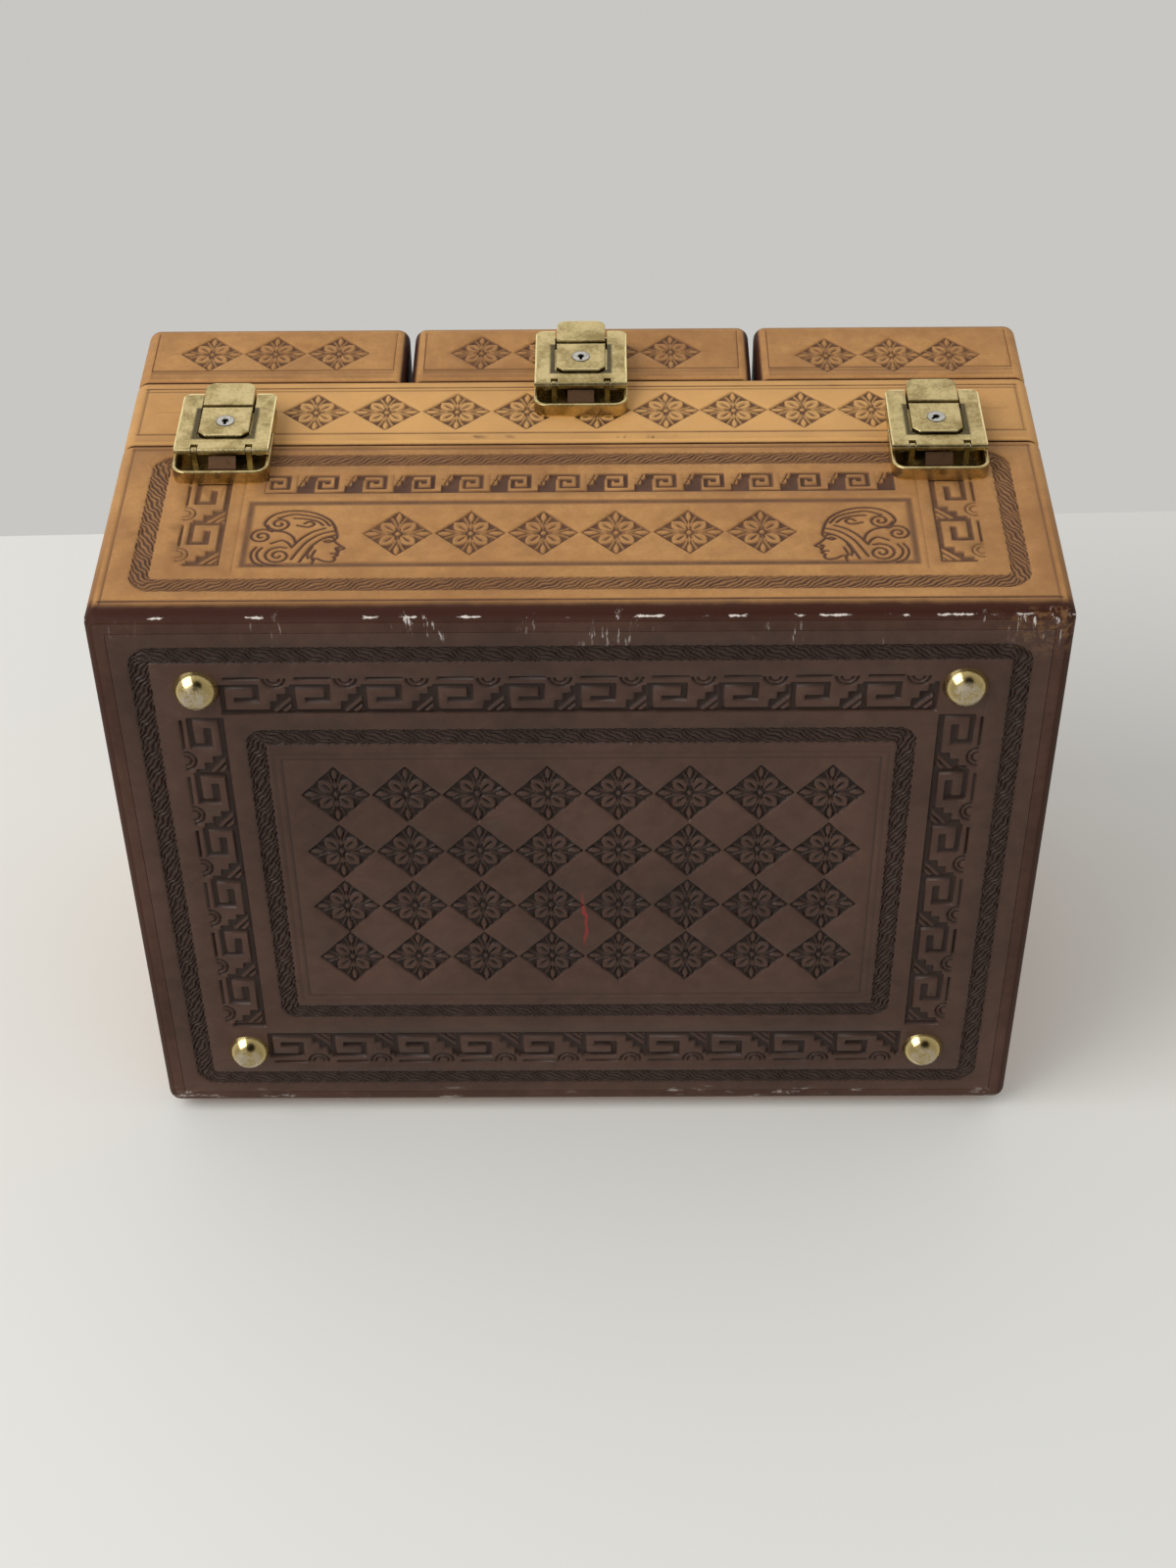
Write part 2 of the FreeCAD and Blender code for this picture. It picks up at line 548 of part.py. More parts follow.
def hasp(name, face, turn):
    """The hinged plate, the key button that presses in through its slot, and the key plug."""
    half = "dims.hasp_width / 2"
    span = (f"-{half}", half)
    axis_s = "-dims.axis_drop"
    outer = "(dims.axis_out + dims.barrel_radius)"
    inner = f"({outer} - dims.hasp_sheet)"
    plate = face.block(f"{name}_plate_solid", span, (inner, outer), (axis_s, "dims.hasp_rise"))
    plate = dress("Part::Fillet", f"{name}_plate_round", plate, upper_corners(size("hasp_corner")))
    barrel = face.rod_along(f"{name}_barrel", "dims.barrel_radius", span, "dims.axis_out", axis_s)

    button_half = "dims.button_width / 2"
    slot_half = f"({button_half} + dims.button_gap)"
    slot_o = (f"{inner} - dims.past", f"{outer} + dims.past")
    slot_s = ("-dims.button_drop - dims.button_gap", "dims.hasp_rise + dims.past")
    slot = face.block(f"{name}_slot_square", (f"-{slot_half}", slot_half), slot_o, slot_s)
    slot = dress("Part::Chamfer", f"{name}_slot", slot, lower_corners(size("button_corner")))
    notches = []
    for side in (-1, 1):
        notch_u = around(f"{side} * dims.ear_x", "dims.ear_thickness / 2 + dims.ear_gap")
        notch_s = around(axis_s, "dims.barrel_radius + dims.ear_gap")
        notch_o = ("0", f"{outer} + dims.past")
        notches.append(face.block(f"{name}_ear_notch", notch_u, notch_o, notch_s))
    bore_span = shrink(span, "-dims.past")
    bore_radius = "dims.hasp_pin_radius + dims.fixing_fit"
    bore = face.rod_along(f"{name}_bore", bore_radius, bore_span, "dims.axis_out", axis_s)
    whole = fuse(f"{name}_plate_rolled", plate, barrel)
    piece(f"{name}_hasp", cut(f"{name}_hasp", whole, slot, bore, *notches))

    flange_top = f"({inner} - dims.flange_gap)"
    flange_low = f"({flange_top} - dims.flange_sheet)"
    button_s = ("-dims.button_drop", "dims.button_rise")
    button_u = (f"-{button_half}", button_half)
    button = face.block(f"{name}_button_solid", button_u, (flange_low, "dims.button_out"), button_s)
    button = dress("Part::Chamfer", f"{name}_button_chamfered", button, lower_corners(size("button_corner")))
    button = dress("Part::Fillet", f"{name}_button_soft", button, outer_edges(size("soft_edge")))
    flange_u = shrink(button_u, "-dims.flange_reach")
    flange = face.block(f"{name}_flange", flange_u, (flange_low, flange_top), button_s)
    plug_s = "(dims.button_rise - dims.button_drop) / 2"
    bore_o = ("0", "dims.button_out + dims.past")
    plug_bore = face.rod_in(f"{name}_plug_bore", "dims.plug_radius + dims.fixing_fit", "0", bore_o, plug_s)
    piece(f"{name}_key_button", cut(f"{name}_key_button", fuse(f"{name}_button", button, flange), plug_bore))

    plug_face = "(dims.button_out + dims.plug_proud)"
    plug_o = (f"{plug_face} - dims.plug_length", plug_face)
    plug = face.rod_in(f"{name}_plug", "dims.plug_radius", "0", plug_o, plug_s)
    deep_o = (f"{plug_face} - dims.keyhole_depth", f"{plug_face} + dims.past")
    eye = face.rod_in(f"{name}_keyhole_eye", "dims.keyhole_radius", "0", deep_o, plug_s)
    slit_u = ("0", "dims.keyhole_width")
    slit = face.block(f"{name}_keyhole_slit", slit_u, deep_o, ("0", "dims.keyhole_length"))
    shift_u = f"-dims.keyhole_width / 2 * cos({turn}) - dims.keyhole_length * sin({turn})"
    shift_s = f"{plug_s} + dims.keyhole_width / 2 * sin({turn}) - dims.keyhole_length * cos({turn})"
    for axis, value in zip("xyz", face.point(shift_u, deep_o[1], shift_s)):
        slit.setExpression(f"Placement.Base.{axis}", value)
    slit.Placement.Rotation = Rotation(Vector(0, 1, 0), 1)
    slit.setExpression("Placement.Rotation.Angle", turn)
    piece(f"{name}_key_plug", cut(f"{name}_key_plug", plug, fuse(f"{name}_keyhole", eye, slit)))


def latches():
    """Three latches: left and right on the main seam, the centre one on the lids' seam."""
    to_front = Vector(0, -1, 0)
    along = Vector(1, 0, 0)
    places = {
        "left": ("-dims.latch_x", main_seam, "base", "tray", "0"),
        "centre": ("0", lid_seam, "tray", "centre_lid", "0"),
        "right": ("dims.latch_x", main_seam, "base", "tray", "dims.right_key_turn"),
    }
    fixings = {"base": [], "tray": [], "centre_lid": []}
    for name, (middle, seam, lower_body, upper_body, turn) in places.items():
        face = Face(along, to_front, front, middle, seam)
        fixings[lower_body] += lock_pan(name, face, lower_body)
        fixings[upper_body] += strike(name, face, upper_body)
        hasp(name, face, turn)
    for body, made in fixings.items():
        piece(f"{body}_latch_rivets", group(f"{body}_latch_rivets", made))


def screw(name, face, u, s, body):
    """A countersunk screw through a hinge leaf, and its hole through leaf, leather and wood."""
    neck = "(dims.leaf_sheet - dims.screw_head)"
    fit = "dims.fixing_fit"
    solids = []
    for part, extra in (("screw", "0"), ("hole", fit)):
        shank_o = (f"-dims.fixing_depth - {extra}", neck)
        shank = face.rod_in(f"{name}_{part}_shank", f"dims.screw_radius + {extra}", u, shank_o, s)
        start = face.point(u, neck, s)
        wide = f"dims.screw_head_radius + {extra}"
        thin = f"dims.screw_radius + {extra}"
        head = cone(f"{name}_{part}_head", thin, wide, "dims.screw_head", face.out, start)
        solids.append(fuse(f"{name}_{part}", shank, head))
    cutters[body].append(solids[1])
    return solids


def leaf(name, face, sign, knuckles, body):
    """One hinge leaf with its knuckles and screws; sign is -1 for the lower leaf and 1 for the upper."""
    half = "dims.hinge_length / 2"
    edge = f"({sign} * (dims.knuckle_radius + dims.leaf_gap))"
    plate_s = (edge, "dims.leaf_width") if sign > 0 else ("-dims.leaf_width", edge)
    sheet_o = ("0", "dims.leaf_sheet")
    parts = [face.block(f"{name}_plate", (f"-{half}", half), sheet_o, plate_s)]
    tab_s = ("0", edge) if sign > 0 else (edge, "0")
    for span in knuckles:
        parts.append(face.block(f"{name}_tab", span, sheet_o, tab_s))
        parts.append(face.rod_along(f"{name}_knuckle", "dims.knuckle_radius", span, knuckle_out, "0"))
    bore_span = (f"-{half} - dims.past", f"{half} + dims.past")
    bore_radius = "dims.hinge_pin_radius + dims.fixing_fit"
    bore = face.rod_along(f"{name}_bore", bore_radius, bore_span, knuckle_out, "0")
    screws = []
    holes = []
    for side in (-1, 1):
        made = screw(f"{name}_{side + 1}", face, f"{side} * dims.screw_u", f"{sign} * dims.screw_s", body)
        screws.append(made[0])
        holes.append(made[1])
    return cut(name, fuse(f"{name}_whole", *parts), bore, *holes), screws


def hinge(name, face, lower_body, upper_body):
    """A butt hinge: the lower leaf has the two outer knuckles, the upper leaf the middle one."""
    half = "dims.hinge_length / 2"
    end = f"({half} - dims.knuckle_end)"
    outer = [(f"-{half}", f"-{end}"), (end, half)]
    inner_end = f"({end} - dims.knuckle_gap)"
    lower, lower_screws = leaf(f"{name}_lower_leaf", face, -1, outer, lower_body)
    upper, upper_screws = leaf(f"{name}_upper_leaf", face, 1, [(f"-{inner_end}", inner_end)], upper_body)
    pin = face.rod_along(f"{name}_pin", "dims.hinge_pin_radius", (f"-{half}", half), knuckle_out, "0")
    return lower, upper, pin, lower_screws, upper_screws


def hinges():
    """Two hinges for the tray and two for each lid, with pins and screws grouped by what they are on."""
    x_axis = Vector(1, 0, 0)
    y_axis = Vector(0, 1, 0)
    left = f"-{half_width}"
    side_y = "dims.side_hinge_y"
    sites = {
        "main": (x_axis, y_axis, back, "0", "dims.main_hinge_x", main_seam, "base", "tray"),
        "left_lid": (y_axis, -x_axis, left, middle_y, side_y, lid_seam, "tray", "left_lid"),
        "centre_lid": (x_axis, y_axis, back, "0", "dims.centre_hinge_x", lid_seam, "tray", "centre_lid"),
        "right_lid": (y_axis, x_axis, half_width, middle_y, side_y, lid_seam, "tray", "right_lid"),
    }
    screws = {body: [] for body in ("base", "tray", "left_lid", "centre_lid", "right_lid")}
    lid_lower = []
    lid_pins = []
    for site, (along, out, surface, middle, apart, seam, lower_body, upper_body) in sites.items():
        lower_leaves = []
        upper_leaves = []
        pins = []
        for number, side in ((1, -1), (2, 1)):
            face = Face(along, out, surface, f"{middle} + {side} * {apart}", seam)
            made = hinge(f"{site}_hinge_{number}", face, lower_body, upper_body)
            lower_leaves.append(made[0])
            upper_leaves.append(made[1])
            pins.append(made[2])
            screws[lower_body] += made[3]
            screws[upper_body] += made[4]
        piece(f"{site}_upper_leaves", group(f"{site}_upper_leaves", upper_leaves))
        if site == "main":
            piece("main_lower_leaves", group("main_lower_leaves", lower_leaves))
            piece("main_hinge_pins", group("main_hinge_pins", pins))
        else:
            lid_lower += lower_leaves
            lid_pins += pins
    piece("lid_lower_leaves", group("lid_lower_leaves", lid_lower))
    piece("lid_hinge_pins", group("lid_hinge_pins", lid_pins))
    for body, made in screws.items():
        piece(f"{body}_hinge_screws", group(f"{body}_hinge_screws", made))


def write_pieces():
    """Checks every object, then writes one file for each piece."""
    doc.recompute()
    for obj in doc.Objects:
        if "Invalid" in obj.State or "Error" in obj.State:
            raise RuntimeError(f"{obj.Name} failed")
    for node, obj in pieces.items():
        if obj.Shape.isNull() or not obj.Shape.isValid() or not obj.Shape.Solids:
            raise RuntimeError(f"{node} has no valid solid")
    os.makedirs("parts", exist_ok=True)
    for node, obj in pieces.items():
        obj.Shape.exportStep(f"parts/{node}.step")
        print(f"{node}: {len(obj.Shape.Solids)} solids, {obj.Shape.Volume:.1f} cubic mm")


feet()
latches()
hinges()
cover_and_walls()
lids()
write_pieces()
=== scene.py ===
"""Leather jewellery case: tooled leather, brass, wood and velvet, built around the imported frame."""

import math

import bpy
import numpy as np
from bpy.props import FloatProperty, FloatVectorProperty, PointerProperty
from bpy.types import Operator, Panel, PropertyGroup
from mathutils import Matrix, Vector


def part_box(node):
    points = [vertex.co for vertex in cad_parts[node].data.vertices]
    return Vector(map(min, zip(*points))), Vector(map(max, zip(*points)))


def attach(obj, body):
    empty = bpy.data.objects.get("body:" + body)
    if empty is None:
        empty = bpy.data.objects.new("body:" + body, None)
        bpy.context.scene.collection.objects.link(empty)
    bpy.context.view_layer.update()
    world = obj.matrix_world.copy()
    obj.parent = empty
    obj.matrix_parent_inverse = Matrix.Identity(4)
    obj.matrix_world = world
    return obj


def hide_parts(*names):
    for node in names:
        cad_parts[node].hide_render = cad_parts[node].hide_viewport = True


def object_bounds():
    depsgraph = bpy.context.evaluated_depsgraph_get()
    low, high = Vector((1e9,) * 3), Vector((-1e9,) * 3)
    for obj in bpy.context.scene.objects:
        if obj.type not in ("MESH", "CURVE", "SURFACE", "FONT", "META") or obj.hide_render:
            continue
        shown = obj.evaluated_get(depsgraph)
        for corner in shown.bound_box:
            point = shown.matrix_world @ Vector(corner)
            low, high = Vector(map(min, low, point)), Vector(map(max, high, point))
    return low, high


bl_info = {
    "name": "Leather jewellery case",
    "version": (1, 0, 0),
    "blender": (4, 5, 0),
    "location": "3D View > Sidebar > Jewellery case",
    "description": "Models the leather, lining and finishes of a jewellery case around its frame",
    "category": "Add Mesh",
}

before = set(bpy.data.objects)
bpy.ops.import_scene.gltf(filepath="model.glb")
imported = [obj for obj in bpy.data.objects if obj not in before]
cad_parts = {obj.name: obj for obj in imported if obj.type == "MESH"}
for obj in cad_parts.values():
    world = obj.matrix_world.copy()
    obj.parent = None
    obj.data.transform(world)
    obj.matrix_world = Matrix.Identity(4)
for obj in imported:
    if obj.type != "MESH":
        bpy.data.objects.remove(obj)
CAD_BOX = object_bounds()
MM = 0.001
SIDES = ("left", "centre", "right")
MERGE_DISTANCE = 2e-6
SMOOTH_ANGLE = math.radians(60.0)
MOST_TRIANGLES = {"base_cover": 190000, "bottom_panel": 196000, "tray_cover": 110000, "lid_cover": 70000}


def tone(red, green, blue):
    """A colour given as screen values from 0 to 255, in linear light."""
    parts = np.array((red, green, blue)) / 255.0
    linear = np.where(parts <= 0.04045, parts / 12.92, ((parts + 0.055) / 1.055) ** 2.4)
    return tuple(float(part) for part in linear)


def length(name, description, default):
    """A length that a user may change, kept in metres and given here in millimetres."""
    return FloatProperty(name=name, description=description, default=default * MM, unit="LENGTH", precision=5)


def colour(name, description, red, green, blue):
    """A colour that a user may change."""
    shade = tone(red, green, blue)
    return FloatVectorProperty(name=name, description=description, default=shade, subtype="COLOR", size=3)


def number(name, description, default):
    """A plain number that a user may change."""
    return FloatProperty(name=name, description=description, default=default)


class LeatherSettings(PropertyGroup):
    """Sizes and colours of the leather."""

    thickness: length("Thickness", "Thickness of the leather", 2.0)
    edge_radius: length("Edge radius", "Outer rounding of the covered edges", 4.0)
    rim_radius: length("Rim radius", "Outer rounding of the edges at a seam", 1.6)
    turn_under: length("Turn under", "Width of the cover's edge turned under the base", 6.0)
    fine_step: length("Fine step", "Distance between points on the tooled faces", 0.42)
    coarse_step: length("Coarse step", "Distance between points on the other faces", 0.8)
    line_width: length("Line width", "Width of a scored line", 0.8)
    line_depth: length("Line depth", "Depth of a scored line", 0.32)
    stamp_depth: length("Stamp depth", "Depth of the ground of a stamp", 0.75)
    rope_width: length("Rope width", "Width of the rope band", 6.6)
    tan_pale: colour("Pale tan", "Tan leather where it is palest", 192, 143, 88)
    tan_deep: colour("Deep tan", "Tan leather where it is darkest", 157, 111, 67)
    tan_light: colour("Light tan", "Tan leather rubbed light around the tray", 226, 176, 110)
    burnish: colour("Burnish", "Ground of the stamps in tan leather", 84, 58, 46)
    edge_brown: colour("Edge brown", "Dyed edges of the tan leather", 56, 25, 12)
    brown_pale: colour("Pale brown", "Brown leather where it is palest", 88, 62, 50)
    brown_deep: colour("Deep brown", "Brown leather where it is darkest", 67, 46, 37)
    brown_ground: colour("Brown ground", "Ground of the stamps in brown leather", 34, 26, 24)
    scuff: colour("Scuff", "Bare fibres where the edges are scuffed", 222, 214, 206)
    raw: colour("Raw", "Rough leather where a corner is rubbed through", 124, 88, 54)
    streak: colour("Streak", "Red streak on the bottom", 150, 40, 34)


class MetalSettings(PropertyGroup):
    """Colours of the metal pieces."""

    antique: colour("Antique brass", "Toned brass of the latches", 212, 194, 144)
    antique_dark: colour("Antique brass, dark", "Toned brass in its darker clouds", 150, 132, 86)
    worn: colour("Worn brass", "Brass rubbed bright at the edges", 240, 224, 172)
    polished: colour("Polished brass", "Brass of the foot studs", 226, 206, 148)
    steel: colour("Steel", "Key plugs, pins and screws", 196, 194, 190)
    brown_steel: colour("Brown steel", "Leaf springs", 110, 84, 64)
    # Real tarnish in specks and clouds, and also the painted shade in the gap around each key button.
    tarnish_and_shade: colour("Tarnish", "Dark film in the hollows", 44, 38, 26)
    # Painted shade: the black that stands in for the shade inside a keyhole.
    keyhole: colour("Keyhole", "Black inside of a keyhole", 14, 12, 10)
    rubbed: colour("Rubbed tip", "Plating rubbed off the tips of the studs", 205, 196, 188)


class InsideSettings(PropertyGroup):
    """Sizes and colours of the lining and the wood."""

    lining: length("Lining", "Thickness of the lining", 1.2)
    lining_corner: length("Lining corner", "Rounding of the lining's corners", 2.5)
    velvet: colour("Velvet", "Velvet lying in the nap", 112, 22, 30)
    sheen: colour("Velvet sheen", "Tips of the pile where they catch the light", 190, 70, 78)
    velvet_dark: colour("Velvet, brushed", "Velvet brushed against the nap", 70, 12, 19)
    wood_pale: colour("Pale wood", "Wood between its grain lines", 190, 150, 104)
    wood_dark: colour("Dark wood", "Grain lines of the wood", 138, 96, 58)


class StageSettings(PropertyGroup):
    """The camera, the lights and the pale ground."""

    camera_x: length("Camera x", "Place of the camera", 8.29)
    camera_y: length("Camera y", "Place of the camera", -563.43)
    camera_z: length("Camera z", "Place of the camera", -567.59)
    camera_tilt: number("Camera tilt", "Turn about x, in degrees", 137.54)
    camera_roll: number("Camera roll", "Turn about y, in degrees", -0.156)
    camera_turn: number("Camera turn", "Turn about z, in degrees", 0.52)
    camera_lens: number("Lens", "Focal length, in millimetres", 57.9)
    sensor: number("Sensor", "Height of the sensor, in millimetres", 36.0)
    wall_line: length("Wall line", "Height at which the table ends", 346.0)
    table_low: length("Table low", "Height at which the table begins", -2000.0)
    table_width: length("Table width", "Width of the table", 4000.0)
    table_tilt: number("Table tilt", "Tilt of the table, in degrees", -1.5)
    floor_size: length("Floor size", "Width and depth of the floor", 6000.0)
    table: colour("Table", "Pale table and floor", 226, 226, 222)
    wall: colour("Wall", "Background behind the table", 200, 199, 195)
    dusk: colour("Dusk", "Darker end of the room that metal reflects", 150, 144, 132)
    doorway: colour("Doorway", "Dark opening in the room that metal reflects", 24, 20, 16)
    window: colour("Window", "Brighter end of the room that metal reflects", 255, 252, 244)
    ambient: number("Ambient", "Strength of the light from all round", 0.66)
    key_x: length("Key light x", "Place of the key light", -1200.0)
    key_y: length("Key light y", "Place of the key light", -1400.0)
    key_z: length("Key light z", "Place of the key light", -620.0)
    key_size: length("Key light size", "Width of the key light", 1400.0)
    key_power: number("Key light", "Power of the key light, in watts", 22.0)


def settings(group):
    """One of the groups of settings on the scene."""
    return getattr(bpy.context.scene, group)


# Shaders


class Term:
    """A node's output that takes part in sums; each operator adds a Math node."""

    def __init__(self, finish, socket):
        self.finish = finish
        self.socket = socket

    def math(self, operation, *others):
        inputs = dict(enumerate((self,) + others))
        return self.finish.node("ShaderNodeMath", {"operation": operation}, inputs)

    def __add__(self, other):
        return self.math("ADD", other)

    __radd__ = __add__

    def __sub__(self, other):
        return self.math("SUBTRACT", other)

    def __rsub__(self, other):
        return (self * -1.0).math("ADD", other)

    def __mul__(self, other):
        return self.math("MULTIPLY", other)

    __rmul__ = __mul__

    def __abs__(self):
        return self.math("ABSOLUTE")

    def least(self, other):
        return self.math("MINIMUM", other)

    def most(self, other):
        return self.math("MAXIMUM", other)

    def ramp(self, low, high):
        """0 below low, 1 above high and a smooth rise between them."""
        inputs = {"Value": self, "From Min": low, "From Max": high}
        return self.finish.node("ShaderNodeMapRange", {"interpolation_type": "SMOOTHSTEP"}, inputs)


class Finish:
    """A material or a world and the nodes in it."""

    def __init__(self, owner):
        owner.use_nodes = True
        self.owner = owner
        self.tree = owner.node_tree
        self.tree.nodes.clear()

    def node(self, kind, options, inputs, output=0):
        """Adds a node with its options set first and its sockets filled or linked."""
        made = self.tree.nodes.new(kind)
        for key, value in options.items():
            setattr(made, key, value)
        for key, value in inputs.items():
            if isinstance(value, Term):
                self.tree.links.new(value.socket, made.inputs[key])
            else:
                made.inputs[key].default_value = value
        return Term(self, made.outputs[output]) if made.outputs else made

    def place(self):
        return self.node("ShaderNodeTexCoord", {}, {}, "Object")

    def axes(self, wanted="XYZ"):
        """Object coordinates along the axes wanted, in millimetres."""
        split = self.node("ShaderNodeSeparateXYZ", {}, {"Vector": self.place()})
        sockets = split.socket.node.outputs
        return [Term(self, sockets[axis]) * (1.0 / MM) for axis in wanted]

    def stretched(self, x, y, z):
        """Object coordinates stretched along the axes."""
        return self.node("ShaderNodeMapping", {}, {"Vector": self.place(), "Scale": (x, y, z)})

    def noise(self, size, detail=3.0, vector=None, roughness=0.55):
        """Soft noise with spots of about the size given in millimetres."""
        inputs = {"Vector": vector or self.place(), "Scale": 1.0 / (size * MM), "Detail": detail}
        inputs["Roughness"] = roughness
        return self.node("ShaderNodeTexNoise", {}, inputs)

    def attribute(self, name):
        return self.node("ShaderNodeAttribute", {"attribute_name": name}, {}, "Fac")

    def mix(self, factor, first, second):
        """A colour between two colours."""
        inputs = {0: factor, 6: shade(first), 7: shade(second)}
        return self.node("ShaderNodeMix", {"data_type": "RGBA"}, inputs, 2)

    def bump(self, height, distance, strength=1.0):
        """A normal tilted by a height, with its depth in millimetres."""
        inputs = {"Height": height, "Distance": distance * MM, "Strength": strength}
        return self.node("ShaderNodeBump", {}, inputs)

    def surface(self, inputs):
        """Ends the material in a Principled shader and gives it back."""
        shader = self.node("ShaderNodeBsdfPrincipled", {}, inputs)
        self.node("ShaderNodeOutputMaterial", {}, {"Surface": shader})
        return self.owner


def shade(value):
    """A colour with its alpha, or a linked colour as it is."""
    return value if isinstance(value, Term) else (*value, 1.0)


def brown_tint(finish, dark, mottle):
    """Dark brown dye in soft clouds, nearly black in the tooling."""
    look = settings("case_leather")
    blotch = finish.noise(60.0, 3.0)
    brown = finish.mix((blotch * 0.6 + mottle * 0.4).ramp(0.3, 0.7), look.brown_deep, look.brown_pale)
    return finish.mix((dark * (0.5 + mottle * 0.6)).ramp(0.0, 1.0), brown, look.brown_ground)


def scuffed(finish, tint):
    """Bare fibres in dashes and scratches along the front edge of the bottom and in streaks along its back
    edge, and rough leather at its right front corner."""
    look = settings("case_leather")
    x, y, z = finish.axes()
    case_low, case_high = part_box("base_leather")
    front = case_low.y / MM
    back = case_high.y / MM
    bottom = case_low.z / MM
    low = 1.0 - z.ramp(bottom + 2.0, bottom + 4.0)
    fine = finish.noise(1.6, 5.0, roughness=0.7)
    streaks = finish.noise(4.5, 6.0, finish.stretched(0.34, 1.0, 1.0), 0.7)
    more_to_the_right = x * 0.0004
    dashes = finish.noise(13.0, 1.0, finish.stretched(1.0, 0.0, 0.0)) + more_to_the_right
    rim = abs((y - front) - (z - bottom)) + (fine - 0.5) * 2.4
    along = (dashes * 0.6 + streaks * 0.4).ramp(0.52, 0.55) * (1.0 - rim.ramp(0.1, 0.6)) * low
    patches = finish.noise(24.0, 2.0)
    scratches = finish.noise(2.2, 4.0, finish.stretched(1.6, 0.22, 1.0), 0.6)
    near_front = 1.0 - y.ramp(front + 5.0, front + 14.0)
    across = scratches.ramp(0.58, 0.66) * patches.ramp(0.52, 0.6) * near_front * low
    near_back = y.ramp(back - 9.0, back - 5.0) * (1.0 - z.ramp(bottom + 0.5, bottom + 2.0))
    behind = streaks.ramp(0.56, 0.64) * near_back
    bare = along.most(across * 0.8).most(behind * patches.ramp(0.46, 0.56) * 0.6)
    tint = finish.mix(bare * 0.9, tint, look.scuff)
    corner = x.ramp(116.0, 139.0) * (1.0 - y.ramp(front + 5.0, front + 21.0)) * low
    rough = finish.noise(2.6, 5.0, roughness=0.75)
    return finish.mix((corner * rough.ramp(0.48, 0.6)) * 0.75, tint, look.raw)


def tan_leather():
    """Tan leather, dark in the tooling, red-brown along its dyed edges, with painted shade in the same
    red-brown on lid sides that face a neighbour lid, and brown under the base.
    """
    look = settings("case_leather")
    finish = Finish(bpy.data.materials.new("tooled_tan_leather"))
    blotch = finish.noise(45.0, 3.0)
    mottle = finish.noise(6.0, 5.0, roughness=0.65)
    pores = finish.noise(0.7, 3.0)
    dark = finish.attribute("dark")
    dye = finish.attribute("dye")
    tan = finish.mix((blotch * 0.55 + mottle * 0.45).ramp(0.3, 0.7), look.tan_deep, look.tan_pale)
    tan = finish.mix(finish.noise(1.3, 4.0, roughness=0.7).ramp(0.42, 0.66) * 0.3, tan, look.tan_deep)
    x, z = finish.axes("XZ")
    tray_low, tray_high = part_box("tray_leather")
    above = z.ramp(tray_low.z / MM - 0.6, tray_low.z / MM)
    below = 1.0 - z.ramp(tray_high.z / MM, tray_high.z / MM + 0.6)
    tan = finish.mix(above * below * (0.58 - abs(x).ramp(90.0, 140.0) * 0.28), tan, look.tan_light)
    tan = finish.mix((dark * (0.62 + mottle * 0.7)).ramp(0.0, 1.0), tan, look.burnish)
    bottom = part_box("base_leather")[0].z / MM
    sunk = (1.0 - z.ramp(bottom + 3.0, bottom + 11.0)) * 0.5
    # Edge brown along the dyed edges and darker towards the bottom of the base; on the lids the same
    # attribute also carries painted shade on the sides that face a neighbour lid.
    tan = finish.mix((dye + sunk + (mottle - 0.5) * 0.4).ramp(0.05, 0.95), tan, look.edge_brown)
    under = finish.attribute("under")
    tan = finish.mix(under, tan, brown_tint(finish, dark, mottle))
    tan = finish.mix(under.ramp(0.4, 0.8) * (1.0 - under.ramp(0.8, 1.0)) * 0.6, tan, look.edge_brown)
    return finish.surface({
        "Base Color": scuffed(finish, tan),
        "Roughness": 0.5 + mottle * 0.16,
        "Specular IOR Level": 0.16,
        "Normal": finish.bump(pores + mottle * 2.0, 0.05),
    })


def brown_leather():
    """Dark brown leather of the bottom, with a thin red streak near its middle."""
    look = settings("case_leather")
    finish = Finish(bpy.data.materials.new("tooled_brown_leather"))
    mottle = finish.noise(6.0, 5.0, roughness=0.65)
    pores = finish.noise(0.7, 3.0)
    dark = finish.attribute("dark")
    tint = scuffed(finish, brown_tint(finish, dark, mottle))
    x, y = finish.axes("XY")
    wobble = finish.noise(9.0, 3.0)
    line = 1.0 - abs(x - 0.4 + (wobble - 0.5) * 5.0).ramp(0.2, 0.8)
    ends = y.ramp(6.0, 14.0) * (1.0 - y.ramp(26.0, 34.0))
    tint = finish.mix(line * ends * 0.7, tint, look.streak)
    return finish.surface({
        "Base Color": tint,
        "Roughness": 0.38 + mottle * 0.16,
        "Specular IOR Level": 0.42,
        "Normal": finish.bump(pores + mottle * 2.0, 0.05),
    })


